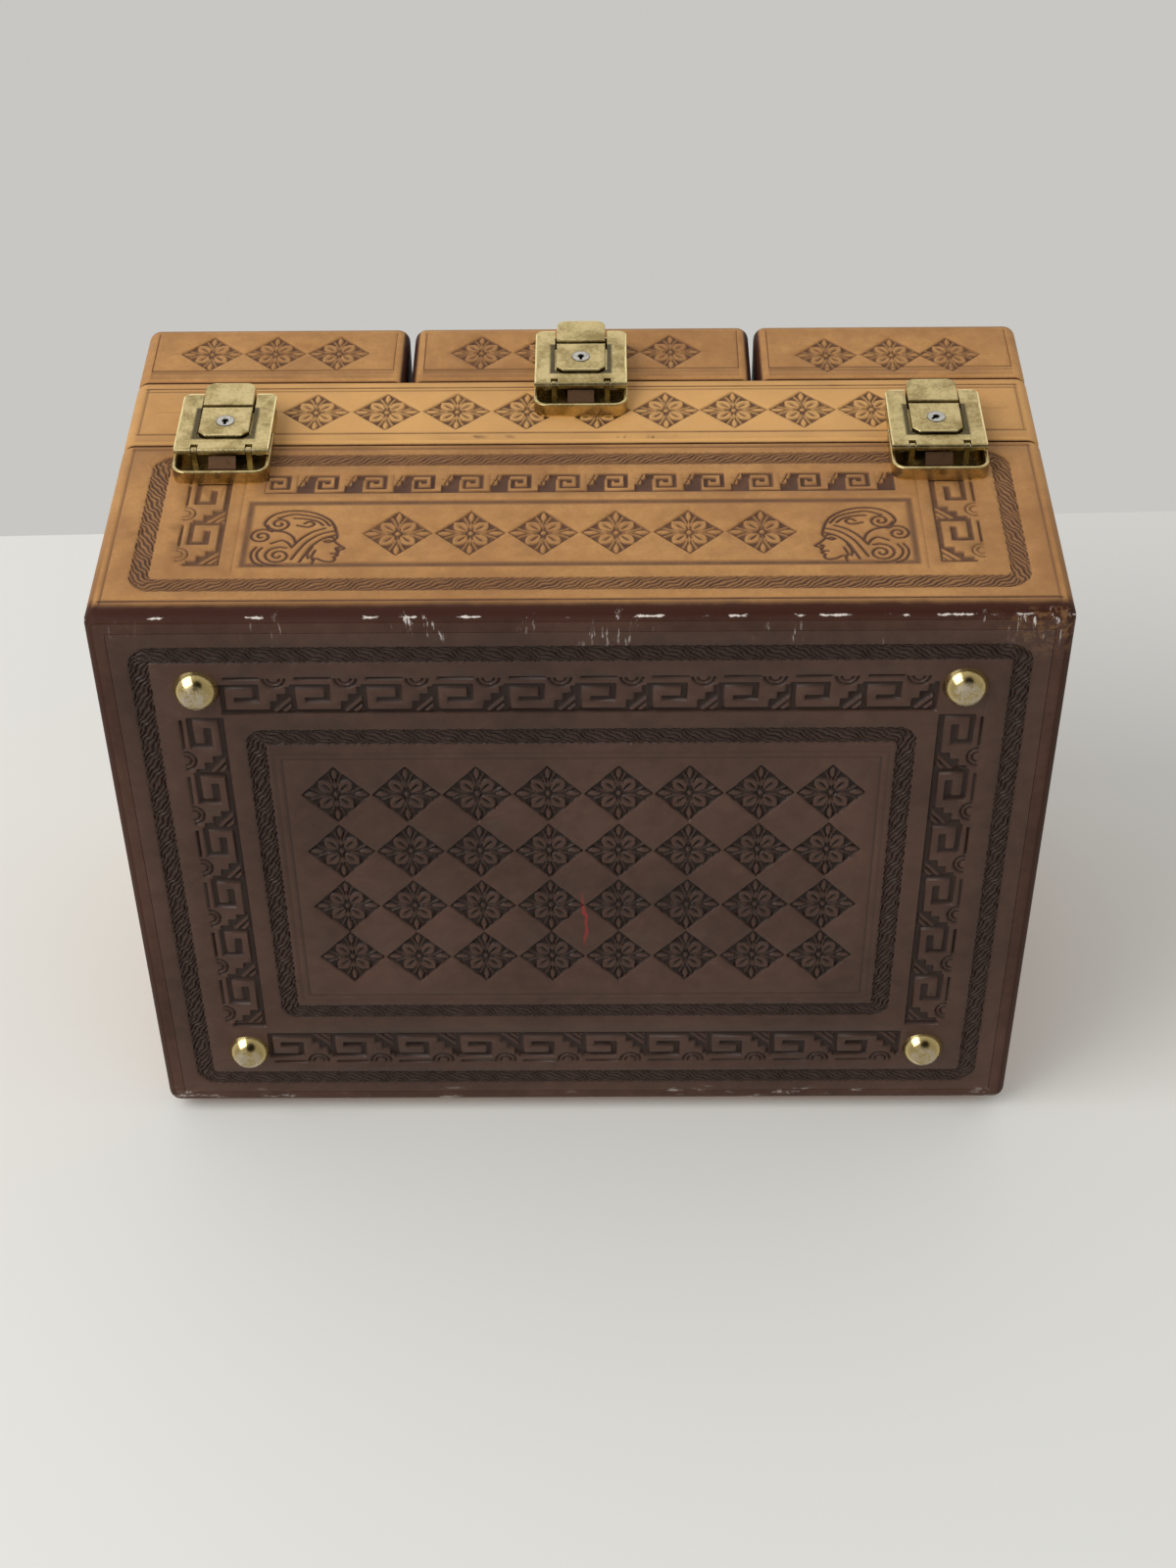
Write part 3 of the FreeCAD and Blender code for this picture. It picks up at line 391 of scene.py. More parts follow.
def toned_metal(name, node, base, dark, roughness, around=None):
    """Metal clouded with a darker tone, rubbed bright along its edges and with painted shade around a node
    set in it.
    """
    look = settings("case_metal")
    finish = Finish(bpy.data.materials.new(name))
    x, y, z = finish.axes()
    depths = []
    for here, low, high in zip((x, y, z), *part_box(node)):
        depths.append((here - low / MM).least(high / MM - here))
    first, second, third = depths
    inner = first.least(second).most(first.most(second).least(third))
    clouds = finish.noise(8.0, 5.0, roughness=0.6)
    specks = finish.noise(0.9, 4.0)
    rubbed = (1.0 - (inner + (clouds - 0.5) * 1.6).ramp(0.15, 0.75)) * (0.55 + specks * 0.6)
    tint = finish.mix((clouds * 0.7 + specks * 0.3).ramp(0.35, 0.62), dark, base)
    tint = finish.mix(rubbed.ramp(0.1, 0.9), tint, look.worn)
    tint = finish.mix(specks.ramp(0.66, 0.78) * 0.7, tint, look.tarnish_and_shade)
    if around:
        seat_low, seat_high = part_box(around)
        beside = (seat_low.x / MM - x).most(x - seat_high.x / MM)
        below = (seat_low.z / MM - z).most(z - seat_high.z / MM)
        # Painted shade: a dark band on the metal just around the node set in it, standing in for the shade in
        # the gap around that node.
        painted_gap_shade = (1.0 - beside.most(below).ramp(0.3, 1.3)) * (0.6 + clouds * 0.5)
        tint = finish.mix(painted_gap_shade, tint, look.tarnish_and_shade)
    return finish.surface({
        "Base Color": tint,
        "Metallic": 1.0,
        "Roughness": roughness + clouds * 0.22 - rubbed * 0.14,
        "Normal": finish.bump(specks + clouds, 0.04),
    })


def plug_steel(side):
    """Bright steel of a key plug, with its keyhole painted black as painted shade, and darker more than 2.5
    mm from its middle.
    """
    look = settings("case_metal")
    node = side + "_key_plug"
    finish = Finish(bpy.data.materials.new(node + "_steel"))
    low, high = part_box(node)
    x, z = finish.axes("XZ")
    across = x - (low.x + high.x) / 2.0 / MM
    up = z - (low.z + high.z) / 2.0 / MM
    away = (across * across + up * up).math("SQRT")
    clouds = finish.noise(1.2, 4.0)
    tint = finish.mix(clouds.ramp(0.5, 0.7) * 0.4, look.steel, look.tarnish_and_shade)
    # Painted shade: a black disc that is not metal, on the plug's face, stands in for the shade inside the
    # keyhole.
    tint = finish.mix(1.0 - away.ramp(1.0, 1.3), tint, look.keyhole)
    tint = finish.mix(away.ramp(2.5, 2.8) * 0.6, tint, look.tarnish_and_shade)
    return finish.surface({
        "Base Color": tint,
        "Metallic": away.ramp(1.0, 1.3),
        "Roughness": 0.24 + clouds * 0.2,
        "Normal": finish.bump(clouds, 0.03),
    })


def plain_metal(name, base, roughness):
    """Smooth metal with fine handling marks."""
    look = settings("case_metal")
    finish = Finish(bpy.data.materials.new(name))
    clouds = finish.noise(3.0, 5.0, roughness=0.7)
    specks = finish.noise(0.5, 3.0)
    tint = finish.mix(clouds.ramp(0.58, 0.75) * 0.5, base, look.tarnish_and_shade)
    return finish.surface({
        "Base Color": tint,
        "Metallic": 1.0,
        "Roughness": roughness + clouds * 0.2,
        "Normal": finish.bump(specks, 0.02),
    })


def stud_brass():
    """Polished brass with a pale, rubbed spot on the tip of each stud."""
    look = settings("case_metal")
    finish = Finish(bpy.data.materials.new("stud_brass"))
    height = finish.axes("Z")[0]
    clouds = finish.noise(4.0, 5.0, roughness=0.7)
    specks = finish.noise(0.8, 3.0)
    marks = clouds * 0.6 + specks * 0.4
    tip = (1.0 - height.ramp(0.2, 1.6)) * marks.ramp(0.4, 0.56)
    tint = finish.mix(marks.ramp(0.52, 0.68) * 0.45, look.polished, look.antique_dark)
    tint = finish.mix(tip * 0.7, tint, look.rubbed)
    return finish.surface({
        "Base Color": tint,
        "Metallic": 1.0 - tip * 0.3,
        "Roughness": 0.12 + clouds * 0.1 + tip * 0.25,
        "Normal": finish.bump(specks, 0.02),
    })


def wood():
    """Plain pale wood with grain lines along the case."""
    look = settings("case_inside")
    finish = Finish(bpy.data.materials.new("case_wood"))
    grain = finish.noise(4.0, 5.0, finish.stretched(0.06, 0.9, 1.0), 0.6)
    fibres = finish.noise(0.6, 3.0, finish.stretched(0.08, 1.0, 1.0))
    tint = finish.mix((grain * 0.75 + fibres * 0.25).ramp(0.35, 0.62), look.wood_dark, look.wood_pale)
    return finish.surface({
        "Base Color": tint,
        "Roughness": 0.6 + grain * 0.15,
        "Normal": finish.bump(fibres, 0.05),
    })


def velvet():
    """Short pile that is brushed to and fro in soft patches."""
    look = settings("case_inside")
    finish = Finish(bpy.data.materials.new("lining_velvet"))
    brushed = finish.noise(16.0, 4.0, finish.stretched(1.0, 0.5, 1.0))
    pile = finish.noise(0.45, 2.0)
    tint = finish.mix((brushed * 0.7 + pile * 0.3).ramp(0.36, 0.64), look.velvet_dark, look.velvet)
    return finish.surface({
        "Base Color": tint,
        "Roughness": 0.9,
        "Specular IOR Level": 0.15,
        "Sheen Weight": 0.2,
        "Sheen Roughness": 0.5,
        "Sheen Tint": shade(look.sheen),
        "Normal": finish.bump(pile, 0.12),
    })


def one_sided(name, tint):
    """Matt ground seen only from its front."""
    finish = Finish(bpy.data.materials.new(name))
    behind = finish.node("ShaderNodeNewGeometry", {}, {}, "Backfacing")
    ground = finish.node("ShaderNodeBsdfDiffuse", {}, {"Color": shade(tint)})
    clear = finish.node("ShaderNodeBsdfTransparent", {}, {})
    both = finish.node("ShaderNodeMixShader", {}, {0: behind, 1: ground, 2: clear})
    finish.node("ShaderNodeOutputMaterial", {}, {"Surface": both})
    return finish.owner


# Modelling helpers


def start():
    """Leaves edit mode and deselects everything, so that the next operator works on its own piece."""
    if bpy.context.object and bpy.context.object.mode != "OBJECT":
        bpy.ops.object.mode_set(mode="OBJECT")
    bpy.ops.object.select_all(action="DESELECT")


def pick(piece):
    """Makes the piece the only one selected."""
    start()
    piece.select_set(True)
    bpy.context.view_layer.objects.active = piece


def edit(piece):
    """Enters edit mode with all of the piece selected."""
    pick(piece)
    bpy.ops.object.mode_set(mode="EDIT")
    bpy.ops.mesh.select_all(action="SELECT")


def settle(piece):
    """Merges doubles, turns the faces outwards and leaves edit mode."""
    edit(piece)
    bpy.ops.mesh.remove_doubles(threshold=MERGE_DISTANCE)
    bpy.ops.mesh.normals_make_consistent(inside=False)
    bpy.ops.object.mode_set(mode="OBJECT")


def modify(piece, kind, **options):
    """Adds a modifier and applies it."""
    pick(piece)
    modifier = piece.modifiers.new(kind.title(), kind)
    for key, value in options.items():
        setattr(modifier, key, value)
    bpy.ops.object.modifier_apply(modifier=modifier.name)


def thin_out(piece, triangles):
    """Collapses the flat parts of a dense piece until it has about the triangles given."""
    faces = np.array([len(polygon.vertices) for polygon in piece.data.polygons])
    now = int((faces - 2).sum())
    if now > triangles:
        modify(piece, "DECIMATE", ratio=triangles / now)


def points(piece):
    """The piece's points, in metres."""
    flat = np.empty(len(piece.data.vertices) * 3)
    piece.data.vertices.foreach_get("co", flat)
    return flat.reshape(-1, 3)


def set_points(piece, places):
    """Moves the piece's points."""
    piece.data.vertices.foreach_set("co", places.astype(np.float32).ravel())
    piece.data.update()


def set_attribute(piece, name, values):
    """Keeps one number for each point."""
    layer = piece.data.attributes.new(name, "FLOAT", "POINT")
    layer.data.foreach_set("value", values.astype(np.float32))


def flat_hide(name, columns, rows):
    """A flat grid to be folded, with the column and row of each of its points."""
    start()
    bpy.ops.mesh.primitive_grid_add(x_subdivisions=columns - 1, y_subdivisions=rows - 1, size=2.0)
    piece = bpy.context.object
    piece.name = name
    piece.data.name = name
    places = points(piece)
    column = np.rint((places[:, 0] + 1.0) / 2.0 * (columns - 1)).astype(int)
    row = np.rint((places[:, 1] + 1.0) / 2.0 * (rows - 1)).astype(int)
    return piece, column, row


def finish_piece(piece, material, body, slot, *nodes):
    """Gives a finished piece its material and body and hides the nodes that it stands for; its slot is not
    used.
    """
    piece.data.materials.clear()
    piece.data.materials.append(material)
    pick(piece)
    bpy.ops.object.shade_smooth_by_angle(angle=SMOOTH_ANGLE)
    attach(piece, body)
    if nodes:
        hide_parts(*nodes)


def steps(low, high, step):
    """Evenly spaced stations from low to high, about a step apart."""
    return np.linspace(low, high, max(2, int(round((high - low) / step)) + 1))


def point_step(step, times=1.0):
    return step / MM * times * 1.0


def depth_inside(along, up, left, right, low, high):
    """How far each point lies inside a box, less than nothing outside it."""
    return np.minimum(np.minimum(along - left, right - along), np.minimum(up - low, high - up))


def rise(low, high, value):
    """0 below low, 1 above high and a smooth rise between them."""
    part = np.clip((value - low) / (high - low), 0.0, 1.0)
    return part * part * (3.0 - 2.0 * part)


def wander(first, second, size):
    """Smooth unevenness between -1 and 1, with swells of about the size given."""
    first = first * 2.0 * math.pi / size
    second = second * 2.0 * math.pi / size
    total = np.sin(first + 1.7 * np.sin(second * 0.6 + 0.4))
    total = total + np.sin(second * 1.1 + 1.3 * np.sin(first * 0.7 + 2.1))
    return 0.5 * total


# Tooling

# Ribs of a spiral key on its sunken ground: start and end along the row, then down from its upper edge
SPIRAL_PITCH = 15.1
SPIRAL_HEIGHT = 8.0
SPIRAL_RIBS = {
    "outer bar": (7.4, 9.5, -0.4, 7.6),
    "lower bar": (0.1, 9.5, 6.3, 7.6),
    "left bar": (0.0, 1.0, 2.2, 7.4),
    "upper bar": (0.4, 6.1, 0.9, 2.1),
    "inner bar": (4.9, 6.1, 0.9, 5.2),
    "inner floor": (2.2, 6.1, 4.0, 5.2),
    "inner end": (2.2, 3.2, 3.1, 5.2),
    "upper step": (9.5, 12.9, -0.4, 2.2),
    "lower step": (9.5, 11.7, 2.2, 4.6),
}
# Sunken parts of a stepped fret: start and end along the row, then in from its outer edge
FRET_PITCH = 21.3
FRET_HEIGHT = 15.0
FRET_GROUND = {
    "outer line": (0.2, 11.2, 0.4, 1.3),
    "key top": (-0.2, 10.6, 3.1, 4.7),
    "key side": (8.8, 10.6, 3.1, 10.2),
    "key floor": (3.0, 10.6, 8.1, 10.2),
    "divide": (-1.3, 0.3, 3.1, 13.6),
    "inner line": (-1.0, 14.6, 12.8, 14.6),
    "first step": (13.7, 20.4, 9.8, 14.6),
    "second step": (16.0, 20.4, 7.0, 14.6),
    "third step": (18.6, 20.4, 4.0, 14.6),
}


def inside_box(along, up, low_along, high_along, low_up, high_up, soft=0.3):
    """1 inside a box and 0 outside, with a soft edge."""
    depth = depth_inside(along, up, low_along, high_along, low_up, high_up)
    return rise(-soft / 2.0, soft / 2.0, depth)


def stroke_distance(along, up, line):
    """Distance of each point from a line through many points."""
    nearest = np.full(along.shape, 1e9)
    for begin, end in zip(line[:-1], line[1:]):
        run = end[0] - begin[0]
        climb = end[1] - begin[1]
        over = along - begin[0]
        above = up - begin[1]
        part = np.clip((over * run + above * climb) / (run * run + climb * climb + 1e-12), 0.0, 1.0)
        nearest = np.minimum(nearest, np.hypot(over - part * run, above - part * climb))
    return nearest


def smooth_line(knots, pieces=6):
    """A smooth line through its knots."""
    knots = np.array(knots, float)
    padded = np.vstack((2 * knots[0] - knots[1], knots, 2 * knots[-1] - knots[-2]))
    line = []
    for before, begin, end, after in zip(padded[:-3], padded[1:-2], padded[2:-1], padded[3:]):
        slope = end - before
        bend = 2 * before - 5 * begin + 4 * end - after
        twist = 3 * begin - before - 3 * end + after
        for part in np.linspace(0.0, 1.0, pieces, endpoint=False):
            line.append(0.5 * (2 * begin + slope * part + bend * part**2 + twist * part**3))
    line.append(knots[-1])
    return np.array(line)


def scroll(centre, radius, start_angle, turns):
    """A spiral that winds in from its start to the centre."""
    part = np.linspace(0.0, 1.0, int(14 * abs(turns)) + 2)
    angle = np.radians(start_angle) + 2.0 * math.pi * turns * part
    reach = radius * (1.0 - 0.86 * part)
    return np.column_stack((centre[0] + reach * np.cos(angle), centre[1] + reach * np.sin(angle)))


# Lines of a plumed head in profile that looks to the right, about its middle
HEAD_KNOTS = {
    "profile": [(9.0, 4.9), (9.9, 1.6), (9.9, -0.5), (9.3, -1.5), (10.8, -3.6), (12.4, -5.2), (11.6, -5.9),
                (10.3, -6.1), (10.9, -7.1), (10.2, -7.8), (10.8, -8.6), (9.8, -9.4), (10.2, -10.6),
                (9.2, -11.6), (7.0, -11.3), (4.6, -10.0), (3.9, -12.6)],
    "mouth": [(8.9, -7.8), (10.3, -7.8)],
    "eye": [(6.6, -2.0), (7.6, -1.4), (8.8, -1.9), (7.7, -2.4), (6.6, -2.0)],
    "brow": [(6.3, -0.5), (7.8, 0.1), (9.2, -0.4)],
    "nostril": [(10.0, -5.4), (10.4, -4.9), (11.0, -5.1)],
    "outer crest": [(9.4, 4.4), (7.2, 8.6), (2.6, 11.9), (-3.2, 13.0), (-8.4, 11.2), (-10.8, 7.2),
                    (-9.6, 4.4)],
    "middle crest": [(7.6, 5.6), (5.4, 8.6), (1.6, 10.4), (-3.0, 11.2), (-7.2, 9.4)],
    "inner crest": [(5.8, 5.8), (3.6, 8.0), (0.4, 9.0), (-2.6, 9.2)],
    "upper band": [(9.6, 3.2), (5.4, 1.6), (1.8, -2.0), (-0.4, -6.4), (-2.0, -10.4)],
    "lower band": [(9.8, 1.2), (6.4, -0.4), (3.4, -3.8), (1.8, -7.6), (0.4, -11.6)],
    "plume over the band": [(6.4, 4.4), (3.0, 2.6), (0.0, -0.6), (-2.4, -4.8)],
    "ear": [(3.4, -4.6), (2.4, -7.4), (2.6, -10.0)],
    "inner ear": [(4.4, -6.2), (3.6, -8.8), (3.9, -10.4)],
    "curl in the crest": [(-1.6, 5.8), (1.6, 5.0), (3.2, 6.6), (1.6, 7.6), (0.4, 6.6)],
    "upper plume": [(-8.4, 3.4), (-4.8, 2.6), (-2.4, 0.4), (-1.4, -2.4)],
    "lower plume": [(-8.2, -2.8), (-5.4, -1.4), (-3.6, -2.4), (-2.4, -4.4)],
    "tail": [(-10.6, -4.8), (-11.8, -7.6), (-10.8, -10.8), (-8.0, -12.8), (-4.2, -13.2)],
    "outer tail": [(-12.2, -4.6), (-13.4, -7.6), (-12.4, -11.4), (-9.6, -13.4)],
}
# Scrolls of the plumes: centre, radius, angle at the start in degrees, turns
HEAD_SCROLLS = {
    "upper scroll": ((-6.6, 6.6), 3.4, 190.0, 1.6),
    "back scroll": ((-11.2, 0.6), 3.6, 40.0, 1.7),
    "lower scroll": ((-5.8, -8.6), 4.2, 60.0, 1.8),
}


class Tooling:
    """Stamps and scored lines on one face of leather, in millimetres along and up the face."""

    def __init__(self, along, up, depth=1.0):
        look = settings("case_leather")
        self.along = along
        self.up = up
        self.height = 0.06 * wander(along, up, 61.0)
        self.dark = np.zeros(along.shape)
        self.line_width = look.line_width / MM
        self.line_depth = look.line_depth / MM
        self.stamp_depth = look.stamp_depth / MM * depth
        self.flower_tone = 0.52 + 0.32 * depth
        self.rope_width = look.rope_width / MM

    def near(self, low_along, high_along, low_up, high_up):
        """Which points lie in a box."""
        across = (self.along > low_along) & (self.along < high_along)
        return np.nonzero(across & (self.up > low_up) & (self.up < high_up))[0]

    def press(self, where, height, dark):
        """Sinks points to a height and darkens them, where they are not lower or darker already."""
        self.height[where] = np.minimum(self.height[where], height)
        self.dark[where] = np.maximum(self.dark[where], dark)

    def line(self, left, low, right, high, strength=1.0):
        """A straight scored line."""
        reach = self.line_width * 2.0
        where = self.near(left - reach, right + reach, low - reach, high + reach)
        gap = stroke_distance(self.along[where], self.up[where], [(left, low), (right, high)])
        groove = 1.0 - rise(self.line_width * 0.2, self.line_width * 0.85, gap)
        self.press(where, -self.line_depth * strength * groove, 0.75 * strength * groove)

    def shade_edges(self, reach_along, high, dark):
        """Darkens the leather softly towards the edges of its face."""
        gap = depth_inside(self.along, self.up, -reach_along, reach_along, 0.0, high)
        soft = dark * np.exp(-np.maximum(gap, 0.0) / 7.0) * (1.0 + 0.4 * wander(self.along, self.up, 23.0))
        self.dark = np.maximum(self.dark, soft)

    def halo(self, left, right, low, high, dark):
        """Darkens the leather softly in a box of stamps and around it."""
        over_along = np.maximum(np.abs(self.along - (left + right) / 2.0) - (right - left) / 2.0, 0.0)
        over_up = np.maximum(np.abs(self.up - (low + high) / 2.0) - (high - low) / 2.0, 0.0)
        soft = np.exp(-((np.hypot(over_along, over_up) / 3.2) ** 2))
        self.dark = np.maximum(self.dark, dark * soft * (1.0 + 0.4 * wander(self.along, self.up, 17.0)))

    def lines(self, left, right, low, high, strength=1.0):
        """Four scored lines around a panel, crossing at its corners."""
        for up in (low, high):
            self.line(left, up, right, up, strength)
        for along in (left, right):
            self.line(along, low, along, high, strength)

    def border(self, left, right, low, high, width, dark):
        """A shallow, darkened band around a panel."""
        where = self.near(left - width, right + width, low - width, high + width)
        gap = depth_inside(self.along[where], self.up[where], left, right, low, high)
        band = rise(-width * 0.3, width * 0.2, gap) * (1.0 - rise(width * 0.3, width, gap))
        self.press(where, -0.25 * band, dark * band)

    def rope(self, left, right, low, high, corner=4.0):
        """A band of twisted strands around a panel, given by its outer edge."""
        width = self.rope_width
        half = width / 2.0
        where = self.near(left - 5.0, right + 5.0, low - 5.0, high + 5.0)
        along = self.along[where] - (left + right) / 2.0
        up = self.up[where] - (low + high) / 2.0
        reach_along = (right - left) / 2.0 - half
        reach_up = (high - low) / 2.0 - half
        out_along = np.abs(along) - reach_along + corner
        out_up = np.abs(up) - reach_up + corner
        outside = np.hypot(np.maximum(out_along, 0.0), np.maximum(out_up, 0.0))
        gap = outside + np.minimum(np.maximum(out_along, out_up), 0.0) - corner
        flat_run = out_up > out_along
        travel = np.where(flat_run, along * np.sign(up), -up * np.sign(along))
        across = gap / half
        bend = travel + 0.7 * np.sin(travel * 0.37) + 0.5 * np.sin(travel * 0.83 + 1.0)
        strand = (bend - 4.4 * across - 2.4 * across**3) / 8.2
        part = strand - np.floor(strand)
        crest = np.sqrt(np.maximum(1.0 - (2.0 * part - 1.0) ** 2, 0.0))
        wave = 0.16 * np.sin(2.0 * math.pi * (travel / 6.1 + 0.55 * across))
        hairs = np.cos(2.0 * math.pi * (3.0 * part + wave))
        level = np.clip(0.3 + 0.3 * crest - 0.5 * hairs, 0.0, 1.0)
        band = 1.0 - rise(0.84, 1.0, np.abs(across))
        halo = np.exp(-((np.maximum(np.abs(gap) - half, 0.0) / 2.2) ** 2))
        depth = 0.9 * self.stamp_depth
        self.press(where, -band * depth * (1.0 - 0.85 * level),
                   np.maximum(band * (1.0 - 0.56 * level), 0.24 * halo))

    def flower(self, along, up, half_along, half_up):
        """A stamped diamond with a flower of four petals, and a bud and two fronds in each corner."""
        where = self.near(along - half_along, along + half_along, up - half_up, up + half_up)
        wide = np.abs(self.along[where] - along) / half_along
        tall = np.abs(self.up[where] - up) / half_up
        edge = 1.0 - wide - tall
        inside = rise(0.0, 0.05, edge)
        out = wide + tall
        aside = np.abs(wide - tall)
        bulge = 0.28 * np.sin(math.pi * np.clip((out - 0.1) / 0.86, 0.0, 1.0) ** 1.2)
        petal = rise(-0.03, 0.04, bulge - aside) * rise(0.16, 0.24, out)
        vein = (1.0 - rise(0.02, 0.06, aside)) * rise(0.22, 0.3, out) * (1.0 - rise(0.6, 0.72, out))
        hollow = (1.0 - rise(0.0, 0.12, bulge - aside - 0.1)) * petal
        long_way = np.maximum(wide, tall)
        short_way = np.minimum(wide, tall)
        width = 0.012 + 0.062 * np.sin(math.pi * np.clip((long_way - 0.5) / 0.42, 0.0, 1.0))
        bud = rise(-0.02, 0.02, width - short_way) * (1.0 - rise(0.88, 0.95, long_way))
        curl = 0.05 + 0.62 * np.maximum(long_way - 0.22, 0.0) ** 1.9
        frond = np.exp(-(((short_way - curl) / 0.036) ** 2)) * rise(0.2, 0.3, long_way)
        dot = np.hypot(wide, tall)
        raised = np.maximum(petal * (0.72 - 0.7 * vein) + 0.28 * hollow, np.maximum(bud, 0.85 * frond))
        raised = np.where(dot < 0.14, 1.0 - rise(0.05, 0.09, dot), raised)
        raised = raised * rise(0.04, 0.1, edge)
        self.press(where, -inside * self.stamp_depth * (1.0 - 0.85 * raised),
                   inside * self.flower_tone * (1.0 - 0.76 * raised))

    def flowers(self, places, up, half_along, half_up):
        """A row of stamped diamonds."""
        for along in places:
            self.flower(along, up, half_along, half_up)

    def row_places(self, start_place, run, inward, size, height):
        """Points of a row of stamps, along its run and in from its outer edge."""
        over = self.along - start_place[0]
        above = self.up - start_place[1]
        along = over * run[0] + above * run[1]
        across = over * inward[0] + above * inward[1]
        in_run = (along > -1.0) & (along < size + 1.0)
        where = np.nonzero(in_run & (across > -0.6) & (across < height + 0.6))[0]
        return where, along[where], across[where]

    def spirals(self, start_place, run, inward, size, count, height):
        """A row of squared spiral keys."""
        where, along, across = self.row_places(start_place, run, inward, size, height)
        along = along / (size / count) * SPIRAL_PITCH
        across = across / height * SPIRAL_HEIGHT
        local = (along + 0.4) % SPIRAL_PITCH - 0.4
        rib = np.zeros(along.shape)
        for box in SPIRAL_RIBS.values():
            rib = np.maximum(rib, inside_box(local, across, *box))
        for shift in (0.0, 1.4):
            diagonal = np.abs(local - 10.4 - shift - (4.4 - across) * 0.42)
            rib = rib * (1.0 - 0.85 * (1.0 - rise(0.1, 0.4, diagonal)) * (across < 4.5) * (local > 9.8))
        band = inside_box(along, across, -0.3, SPIRAL_PITCH * count + 0.1, -0.2, SPIRAL_HEIGHT + 0.2, 0.5)
        self.press(where, -band * self.stamp_depth * (1.0 - rib), band * (0.95 - 0.9 * rib))

    def frets(self, start_place, run, inward, size, count, height):
        """A row of stepped frets, each with a squared key, steps, slanting bars and an eye."""
        where, along, across = self.row_places(start_place, run, inward, size, height)
        along = along / (size / count) * FRET_PITCH
        across = across / height * FRET_HEIGHT
        local = (along + 1.3) % FRET_PITCH - 1.3
        ground = np.zeros(along.shape)
        for box in FRET_GROUND.values():
            ground = np.maximum(ground, inside_box(local, across, *box, 0.45))
        for shift in (28.9, 31.6, 34.0):
            bar = 1.0 - rise(0.35, 0.75, np.abs(local + across - shift) * 0.7)
            ground = ground * (1.0 - 0.8 * bar * (local > 13.9) * (across > 4.2))
        reach = np.hypot(local - 15.4, across - 0.9)
        rings = np.exp(-(((reach - 1.75) / 0.38) ** 2)) + np.exp(-(((reach - 3.3) / 0.45) ** 2))
        ground = np.maximum(ground * rise(3.0, 3.6, reach), 0.9 * rings * (across > 0.5))
        edge = inside_box(along, across, -1.3, FRET_PITCH * count - 0.4, 13.9, 14.7, 0.4)
        ground = np.maximum(ground, edge)
        band = inside_box(along, across, -1.5, FRET_PITCH * count + 0.2, -0.2, FRET_HEIGHT + 0.2, 0.5)
        self.press(where, -band * self.stamp_depth * ground, band * (0.14 + 0.66 * ground))

    def head(self, along, up, facing):
        """A plumed head in profile; it faces along the face, or against it."""
        where = self.near(along - 17.0, along + 17.0, up - 15.0, up + 15.0)
        forward = (self.along[where] - along) * facing / 1.08
        above = (self.up[where] - up) / 1.04
        groove = np.zeros(where.shape)
        shadow = np.zeros(where.shape)
        lines = [smooth_line(knots) for knots in HEAD_KNOTS.values()]
        lines += [scroll(*shape) for shape in HEAD_SCROLLS.values()]
        for line in lines:
            gap = stroke_distance(forward, above, line)
            groove = np.maximum(groove, 1.0 - rise(0.18, 0.6, gap))
            shadow = np.maximum(shadow, 1.0 - rise(0.3, 1.7, gap))
        self.press(where, -0.5 * groove - 0.1 * shadow, 0.75 * groove + 0.22 * shadow)


def front_tooling(along, up):
    """Front of the base, up from the bottom of the case."""
    tooling = Tooling(along, up)
    tooling.rope(-134.0, 134.0, 12.2, 81.8, 5.0)
    tooling.spirals((-97.0, 70.4), (1.0, 0.0), (0.0, -1.0), 194.0, 13, 9.0)
    for facing in (-1.0, 1.0):
        tooling.frets((121.4 * facing, 66.0), (0.0, -1.0), (-facing, 0.0), 41.0, 2, 14.2)
        tooling.head(-84.0 * facing, 38.8, facing)
        tooling.halo(114.0 * facing - 7.5, 114.0 * facing + 7.5, 24.0, 66.0, 0.3)
        tooling.halo(-84.0 * facing - 11.0, -84.0 * facing + 11.0, 28.0, 50.0, 0.16)
        tooling.line(140.6 * facing, 4.0, 140.6 * facing, 85.0, 0.9)
        tooling.line(103.6 * facing, 22.0, 103.6 * facing, 72.6, 0.55)
    tooling.halo(-97.0, 97.0, 61.5, 70.0, 0.26)
    tooling.border(-101.5, 101.5, 24.0, 57.0, 3.4, 0.72)
    tooling.flowers(np.linspace(-55.0, 55.0, 6), 40.5, 11.0, 11.4)
    tooling.line(-143.0, 8.0, 143.0, 8.0, 1.2)
    tooling.line(-143.0, 84.6, 143.0, 84.6, 0.8)
    tooling.shade_edges(145.0, 87.2, 0.5)
    tooling.halo(-130.0, 130.0, 6.0, 82.0, 0.13)
    return tooling


def side_tooling(along, up):
    """Left and right side of the base."""
    tooling = Tooling(along, up)
    tooling.rope(-98.0, 98.0, 10.8, 81.8, 5.0)
    tooling.border(-84.0, 84.0, 23.0, 69.6, 2.4, 0.75)
    tooling.flowers(np.linspace(-66.0, 66.0, 7), 46.3, 11.0, 11.6)
    tooling.line(-106.0, 6.6, 106.0, 6.6)
    tooling.line(-106.0, 84.6, 106.0, 84.6, 0.8)
    tooling.shade_edges(108.0, 87.2, 0.5)
    return tooling


def back_tooling(along, up):
    """Back of the base."""
    tooling = Tooling(along, up)
    tooling.lines(-134.0, 134.0, 10.8, 70.0)
    tooling.lines(-130.0, 130.0, 14.8, 66.0, 0.7)
    tooling.flowers(np.linspace(-110.0, 110.0, 11), 40.4, 11.0, 11.6)
    tooling.line(-143.0, 6.6, 143.0, 6.6)
    tooling.shade_edges(145.0, 87.2, 0.5)
    return tooling


